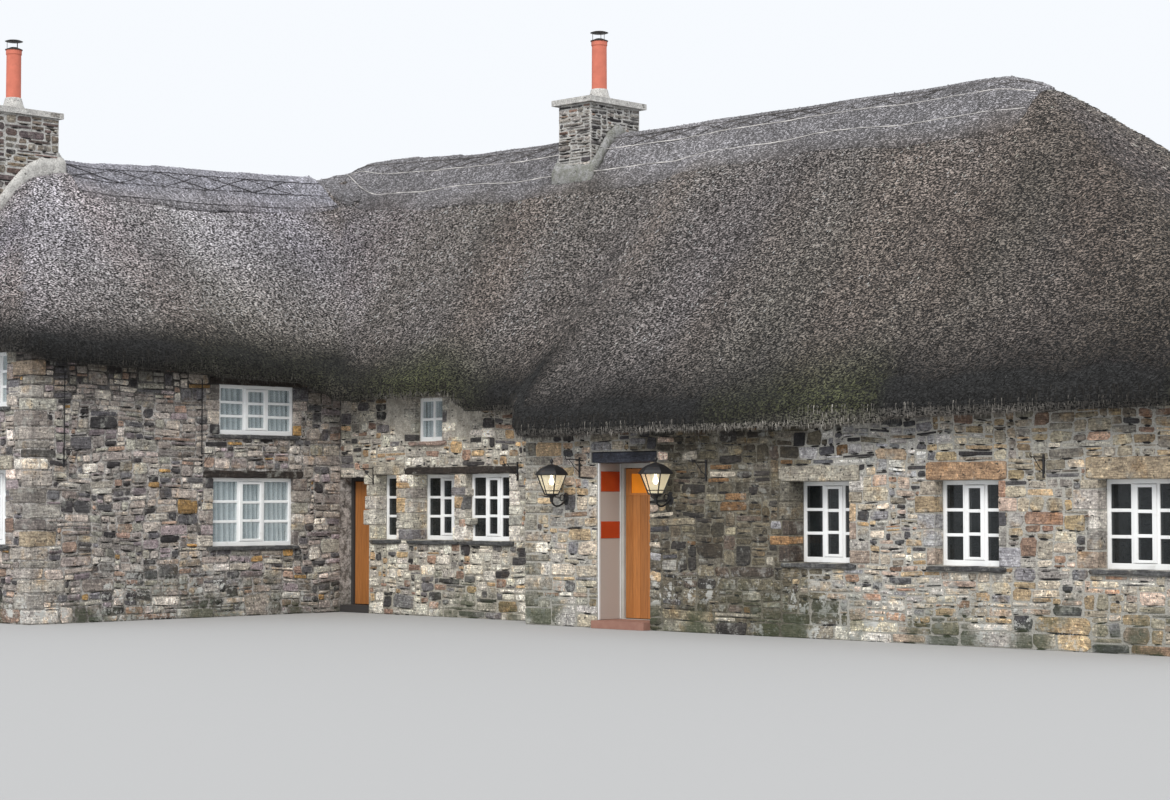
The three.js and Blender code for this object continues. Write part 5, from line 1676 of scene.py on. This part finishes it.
def door_ironwork(name, body, face, low, high, rng):
    """Straps and knuckles of the hinges on the room side, and the ring outside."""
    iron = Pile()
    pin = (low[0] + PIN_ASIDE, low[1] + DOOR_THICK + PIN_BEHIND)
    for z in HINGE_HEIGHTS[name]:
        strap = boxed(*STRAP_SPAN, z, z + STRAP_TALL, *STRAP_DEPTHS)
        add_blocks(iron, face, [strap], STRAP_EDGE, DOOR_IRON, rng)
        knuckle = [(*pin, height) for height in (z, z + 0.012, z + 0.024, z + STRAP_TALL)]
        tube(iron, knuckle, KNUCKLE, DOOR_IRON, 12)
    centre = np.array((high[0] - 0.085, low[1] - 0.006, low[2] + RING_Z))
    angles = np.linspace(0, FULL_TURN, 17)
    ring = np.stack([RING * np.sin(angles), np.full(17, -0.001), -RING * np.cos(angles)], 1)
    tube(iron, centre + ring, RING_THICK, DOOR_IRON)
    iron.build(name + "_ironwork", IRON, "iron", body=body)


def make_door(name, body, glazed):
    """A boarded door: planks outside with ledges behind them, a small pane if glazed, and its ironwork."""
    low, high = (np.array(corner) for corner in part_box(name))
    face = Face((low[0], low[1]), (0, -1), high[0] - low[0])
    rng = seeded(len(name))
    hinge = low[0] + HINGE_GAP
    count = round((high[0] - hinge) / PLANK)
    edges = np.linspace(hinge, high[0], count + 1) - low[0]
    left, right = edges[0], edges[-1]
    glass_top = high[2] - GLAZED_FROM_TOP
    glass_bottom = glass_top - GLAZED_TALL
    top = glass_bottom if glazed else high[2]
    boxes = [
        boxed(start + PLANK_GAP / 2, end - PLANK_GAP / 2, low[2], top, *PLANK_DEPTHS)
        for start, end in zip(edges[:-1], edges[1:])]
    if glazed:
        boxes += glazed_frame(left, right, glass_bottom, high[2], glass_top)
        pane = boxed(
            left + FRAME_SIDE - 0.01, right - FRAME_SIDE + 0.01, glass_bottom + 0.02, glass_top + 0.01,
            *PANE_DEPTHS)
        block_piece(name + "_glowing_amber_glass", GLOWING_AMBER, None, face, [pane], AMBER_EDGE, DOOR_TONE, rng, body)
    for z in (low[2] + LEDGE_FROM_FOOT, (low[2] + glass_bottom) / 2, glass_bottom - LEDGE_BELOW_PANE):
        boxes.append(boxed(left + 0.03, right - 0.02, z, z + LEDGE_TALL, *LEDGE_DEPTHS))
    tones = DOOR_TONE * rng.uniform(0.8, 1.2, (len(boxes), 1))
    planks = block_piece(name + "_planks", DOOR_WOOD, "door", face, boxes, PLANK_EDGE, tones, rng, body)
    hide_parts(name)
    door_ironwork(name, body, face, low, high, rng)


LINING_THICK = 0.012
LINING_WIDE = 0.385
LINING_REACH = 0.4
LINING_HEIGHTS = (0.098, 2.03)
LINING_TONE = np.array((0.46, 0.41, 0.375))
RED_HEIGHTS = ((1.68, 1.93), (1.1, 1.31))
SLATE_TONE = np.array((0.048, 0.054, 0.075))


def make_door_lintel():
    """The slate over the front door, roughly split and a little bowed."""
    points, quads = remeshed(["front_door_lintel"], voxel=0.03, smoothing=1)
    normal = point_normals(points, quads)
    points = points + normal * (0.006 * lumps(points, 9.0, 31) + 0.002 * lumps(points, 40.0, 32))[:, None]
    tones = SLATE_TONE * (1 + 0.35 * lumps(points, 14.0, 33))[:, None]
    slate = skin_piece("front_door_slate", STONE_PLAIN, "oak", points, quads, tones, smooth=False)
    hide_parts("front_door_lintel")


def make_lining():
    """The painted lining on the left side of the front doorway, with its two red panes."""
    (x0, y0, _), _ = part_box("front_door_frame")
    face = Face((x0, y0 - 0.005), (1, 0), LINING_REACH)
    face.along = np.array([0.0, -1.0])
    rng = seeded(LINING_SEED)
    board = boxed(0.0, LINING_WIDE, *LINING_HEIGHTS, 0.0, LINING_THICK)
    strips = [
        boxed(0.0, 0.018, *LINING_HEIGHTS, LINING_THICK, LINING_THICK + 0.008),
        boxed(0.372, LINING_REACH, *LINING_HEIGHTS, 0.0, LINING_THICK + 0.006)]
    pile = Pile()
    add_blocks(pile, face, [board], LINING_EDGE, LINING_TONE, rng)
    add_blocks(pile, face, strips, STRIP_EDGE, WHITE * 0.8, rng)
    pile.build("front_doorway_lining", PAINT, "white_paint")
    pile = Pile()
    for low, high in RED_HEIGHTS:
        pane = boxed(0.02, 0.36, low, high, LINING_THICK - 0.002, LINING_THICK + 0.006)
        add_blocks(pile, face, [pane], RED_PANE_EDGE, WHITE, rng)
    pile.build("front_doorway_red_panes", RED_GLASS, None)


# Lanterns and brackets

LANTERN_SIDES = 6
LANTERN_REACH = 0.27
LANTERN_PLATE_Z = 1.59
VERTEX_OUT = math.pi / 6
LANTERN_IRON = (0.022, 0.022, 0.024)
LANTERN_LIGHT = (1.0, 0.62, 0.28)
BULB_LIGHT = (1.0, 0.8, 0.5)
BRACKET_IRON = (0.025, 0.025, 0.027)
BRACKET_REACH = 0.25
LANTERN_CAP = (
    (0.196, 0.292), (0.213, 0.296), (0.213, 0.308), (0.188, 0.34), (0.15, 0.374), (0.098, 0.404),
    (0.05, 0.421), (0.032, 0.427))
LANTERN_KNOB = (
    (0.002, 0.421), (0.016, 0.426), (0.012, 0.444), (0.018, 0.452), (0.024, 0.468), (0.018, 0.486),
    (0.006, 0.498), (0.001, 0.505))
LANTERN_TRAY = ((0.02, 0.046), (0.084, 0.046), (0.096, 0.053), (0.096, 0.062), (0.08, 0.066))
LANTERN_FOOT = (
    (0.002, -0.045), (0.02, -0.038), (0.022, 0.006), (0.036, 0.024), (0.056, 0.038), (0.06, 0.046),
    (0.002, 0.048))
LANTERN_RIB = ((0.088, 0.056), (0.137, 0.176), (0.187, 0.298))
LANTERN_PANES = ((0.07, 0.06), (0.084, 0.062), (0.18, 0.297), (0.16, 0.298))
LANTERN_BULB = (
    (0.004, 0.17), (0.022, 0.18), (0.034, 0.206), (0.03, 0.232), (0.014, 0.262), (0.014, 0.296))
LANTERN_PLATE = (
    (0.002, 0.0), (0.052, 0.001), (0.056, 0.008), (0.044, 0.016), (0.02, 0.02), (0.002, 0.021))
PLATE_UPRIGHT = np.array([[1, 0, 0], [0, 0, 1.55], [0, -1, 0]])
ARM_BY_WALL = ((0.012, 0.0), (0.05, -0.04), (0.095, -0.07), (0.14, -0.088), (0.185, -0.092))
ARM_BY_LANTERN = ((0.045, -0.078), (0.014, -0.05), (0.0, -0.02))
ARM_THICK = (0.014, 0.013, 0.012, 0.012, 0.012, 0.012, 0.013, 0.015)
SCROLL_POINTS = 15
SCROLL = 0.052
SCROLL_OUT = 0.085
SCROLL_UP = 0.006
SCROLL_THICK = 0.007
RIB_THICK = 0.0085
LANTERN_RING = (0.106, 0.1)
LANTERN_RING_THICK = 0.0055
ARM_OF_BRACKET = 0.0065
BRACE_OF_BRACKET = 0.005
ROD_THICK = 0.008


def lantern_ring(reach, height, centre):
    angles = VERTEX_OUT + np.arange(LANTERN_SIDES + 1) * FULL_TURN / LANTERN_SIDES
    ring = [reach * np.cos(angles), reach * np.sin(angles), np.full(len(angles), height)]
    return np.stack(ring, 1) + centre


def add_lantern_body(iron, centre):
    """Cap, knob, tray and foot of a lantern, its ribs and its middle ring."""
    x, y, z = centre
    for profile, sides, turn in (
            (LANTERN_CAP, LANTERN_SIDES, VERTEX_OUT), (LANTERN_KNOB, 10, 0.0),
            (LANTERN_TRAY, LANTERN_SIDES, VERTEX_OUT), (LANTERN_FOOT, 10, 0.0)):
        lathe(iron, profile, centre, sides, LANTERN_IRON, turn)
    for k in range(LANTERN_SIDES):
        angle = VERTEX_OUT + k * FULL_TURN / LANTERN_SIDES
        out = np.array((math.cos(angle), math.sin(angle)))
        rib = [(x + out[0] * reach, y + out[1] * reach, z + height) for reach, height in LANTERN_RIB]
        tube(iron, rib, RIB_THICK, LANTERN_IRON, 4)
    tube(iron, lantern_ring(*LANTERN_RING, centre), LANTERN_RING_THICK, LANTERN_IRON, 4)


def add_lantern_arm(iron, centre):
    """The curved arm of a lantern, the scroll over it and the oval plate on the wall."""
    x, y, z = centre
    wall = MAIN_FRONT
    arm = [(x, wall - out, z + up) for out, up in ARM_BY_WALL]
    arm += [(x, y + out, z + up) for out, up in ARM_BY_LANTERN]
    tube(iron, arm, ARM_THICK, LANTERN_IRON, 8)
    scroll = []
    for k in range(SCROLL_POINTS):
        angle = math.pi * (0.1 + 1.6 * k / (SCROLL_POINTS - 1))
        reach = SCROLL * (1 - 0.5 * k / (SCROLL_POINTS - 1))
        out, up = wall - SCROLL_OUT + reach * math.cos(angle), z + SCROLL_UP + reach * math.sin(angle)
        scroll.append((x, out, up))
    tube(iron, scroll, SCROLL_THICK, LANTERN_IRON)
    disc = Pile()
    lathe(disc, LANTERN_PLATE, (0, 0, 0), 16, LANTERN_IRON)
    iron.add(disc.points[0] @ PLATE_UPRIGHT + np.array((x, wall, z)), disc.faces, disc.tones[0])


def make_lantern(name):
    """A wall lantern: ironwork, six panes and a bulb."""
    low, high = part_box(name)
    centre = (low[0] + high[0]) / 2, MAIN_FRONT - LANTERN_REACH, LANTERN_PLATE_Z
    iron = Pile()
    add_lantern_body(iron, centre)
    add_lantern_arm(iron, centre)
    shell = iron.build(name + "_ironwork", IRON, "iron")
    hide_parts(name)
    turned_piece(
        name + "_glass", LAMP_GLASS, None, LANTERN_PANES, centre, LANTERN_SIDES, LANTERN_LIGHT, VERTEX_OUT)
    turned_piece(name + "_bulb", LAMP_BULB, None, LANTERN_BULB, centre, 12, BULB_LIGHT, smooth=True)


def add_bracket(pile, face, u, z, rng):
    """A forged wall bracket for a hanging basket: back strip, arm, and a curled brace below it."""
    strip = boxed(u - 0.011, u + 0.011, z - 0.22, z + 0.03, 0.0, 0.022)
    add_blocks(pile, face, [strip], BRACKET_EDGE, BRACKET_IRON, rng)
    hook = [(u, z + 0.018, BRACKET_REACH + 0.018), (u, z + 0.04, BRACKET_REACH + 0.012)]
    arm = [(u, z, d) for d in np.linspace(0.015, BRACKET_REACH, 5)] + hook
    brace = [(u, z - 0.2 + 0.19 * k / 8 + 0.012 * math.sin(k), 0.015 + 0.19 * (k / 8) ** 1.5)
             for k in range(9)]
    for line, thick in ((arm, ARM_OF_BRACKET), (brace, BRACE_OF_BRACKET)):
        tube(pile, face.place(np.array(line)), thick, BRACKET_IRON)


BRACKET_PLACES = {
    "front_stones": ((7.75, 2.02), (3.05, 2.02), (0.96, 2.08)), "inner_stones": ((0.72, 2.02), (3.6, 2.05)),
    "wing_side_stones": ((0.484, 2.22), (2.657, 2.2))}
WALL_WITH_RODS = "wing_side_stones"


def make_brackets():
    """The basket brackets of three walls, and the rods that climb from those of the wing."""
    rng = seeded(BRACKET_SEED)
    pile = Pile()
    for name, places in BRACKET_PLACES.items():
        face = wall_face(WALLS[name])
        for u, z in places:
            add_bracket(pile, face, u, z, rng)
            if name == WALL_WITH_RODS:
                rod = face.place(np.array([(u + 0.002 * (k % 2), z + k * 0.2, 0.022) for k in range(6)]))
                tube(pile, rod, ROD_THICK, BRACKET_IRON)
    pile.build("basket_brackets", IRON, "iron")


# Chimney tops

POT_FOOT = 1.7
POT_BED = 0.19
POT_TONE = (0.6, 0.175, 0.115)
BED_TONE = (0.42, 0.41, 0.38)
COWL_TONE = (0.05, 0.045, 0.04)
FILLET_TONE = (0.45, 0.45, 0.45)
CAP_TALL = 0.08
CAP_DEEP = 0.18
COWL_LEGS = 3


def make_cap(name, stack):
    """The slab cap of a stack, as rough blocks in one or two courses."""
    rng = seeded(len(name))
    cap = stack["cap"]
    course_tall = CAP_TALL / cap["courses"]
    shortest = cap["long"][0]
    pile = Pile()
    for face in stack_faces(stack, stack["overhang"]):
        for course in range(cap["courses"]):
            low = stack["high"] + course_tall * course
            high = stack["high"] + course_tall * (course + 1)
            u = 0.0
            while u < face.length - 0.01:
                long = rng.uniform(*cap["long"])
                long = face.length - u if face.length - u - long < shortest else long
                front = rng.uniform(-0.02, 0.004)
                box = boxed(u + 0.004, u + long - 0.004, low + 0.002, high - 0.002, -CAP_DEEP, front)
                add_rough_block(pile, face, box, pick_tones(rng, cap["shades"], 1)[0], rng, 0.006)
                u += long
    pile.build(name + "_cap", STONE, "masonry")


def pot_profile(radius, tall):
    return [
        (radius, 0.0), (radius * 1.01, 0.05), (radius * 0.98, tall - 0.075), (radius, tall - 0.07),
        (radius * 1.06, tall - 0.06), (radius * 1.06, tall - 0.004), (radius * 1.03, tall),
        (radius * 0.85, tall), (radius * 0.82, tall - 0.12)]


def flaunching_profile(radius):
    return [
        (radius * 1.72, -0.01), (radius * 1.7, 0.012), (radius * 1.32, POT_BED / 2),
        (radius * 1.12, POT_BED - 0.012), (radius, POT_BED)]


def cowl_profiles(radius, tall):
    """The lid of a cowl and the ring that carries it."""
    lid = [
        (0.004, tall - 0.04), (radius * 1.05, tall - 0.028), (radius * 1.21, tall - 0.022),
        (radius * 0.85, tall - 0.008), (0.004, tall)]
    ring = [
        (radius * 0.8, 0.0), (radius * 1.16, -0.002), (radius * 1.18, 0.008), (radius * 0.8, 0.024),
        (radius * 0.5, 0.038), (radius * 0.46, 0.038)]
    return lid, ring


def make_cowl(name, cx, cy, radius):
    low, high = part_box(name + "_cowl")
    rim, top = low[2], high[2]
    pile = Pile()
    for profile in cowl_profiles(radius, top - rim):
        lathe(pile, profile, (cx, cy, rim), 32, COWL_TONE)
    for k in range(COWL_LEGS):
        angle = k * FULL_TURN / COWL_LEGS
        x, y = cx + math.cos(angle) * radius * 0.9, cy + math.sin(angle) * radius * 0.9
        leg = [(x, y, z) for z in (rim + 0.004, rim + 0.04, rim + 0.08, top - 0.026)]
        tube(pile, leg, 0.004, COWL_TONE)
    cowl = pile.build(name + "_cowl_metal", IRON, "iron")
    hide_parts(name + "_cowl")


def make_fillet(name):
    """The mortar fillet at the foot of a stack, a little uneven."""
    mortar = GREY_MORTAR if name == "main_chimney" else PALE_MORTAR
    points, quads = remeshed([name + "_fillet"], voxel=0.04, smoothing=2)
    points = points + point_normals(points, quads) * (0.006 * lumps(points, 9.0, 12) + 0.003)[:, None]
    fillet = skin_piece(name + "_fillet_skin", mortar, "mortar", points, quads, FILLET_TONE)
    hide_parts(name + "_fillet")


def make_chimney_top(name, stack):
    """Cap, pot, mortar bed, cowl and fillet of one stack."""
    make_cap(name, stack)
    cx, cy = stack["centre"]
    low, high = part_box(name + "_pot")
    radius = (high[0] - low[0]) / 2 / POT_FOOT
    foot = (cx, cy, low[2])
    pot = turned_piece(
        name + "_pot_clay", CLAY, "terracotta", pot_profile(radius, high[2] - low[2]), foot, 40, POT_TONE)
    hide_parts(name + "_pot")
    bed = flaunching_profile(radius)
    turned_piece(name + "_flaunching", PALE_MORTAR, "mortar", bed, foot, 24, BED_TONE, smooth=True)
    make_cowl(name, cx, cy, radius)
    make_fillet(name)


# Nodes that stay visible


def dress_nodes():
    """Materials for the CAD nodes that stay visible."""
    kinds = {
        "front_doorstep": STEP_STONE, "front_door_frame": WORN_PAINT, "side_door_frame": DARK_TIMBER,
        "ground_floor": FLAGS, "upper_floor": BOARDS,
        "main_chimney": PALE_MORTAR, "wing_chimney": PALE_MORTAR, "front_wall": FRONT_MORTAR,
        "front_wall_left": FRONT_MORTAR, "front_wall_over_door": FRONT_MORTAR,
        "wing_side_wall": DARK_MORTAR, "wing_end_wall": DARK_MORTAR, "wing_outer_wall": DARK_MORTAR}
    for name, node in NODES.items():
        node.data.materials.clear()
        node.data.materials.append(kinds.get(name, MORTAR))


make_camera()
make_lights()
set_view_transform()
make_floor()
dress_nodes()
for index, (name, wall) in enumerate(WALLS.items()):
    dress_wall(name, wall, index)
for index, (name, stack) in enumerate(STACKS.items()):
    dress_stack(name, stack, index)
for name, stack in STACKS.items():
    make_chimney_top(name.removesuffix("_stones"), stack)
make_straws(*make_coat())
make_ridges()
make_door("front_door", "front_door", True)
make_door("side_door", "side_door", False)
make_door_lintel()
make_lining()
make_lantern("left_lantern")
make_lantern("right_lantern")
make_brackets()
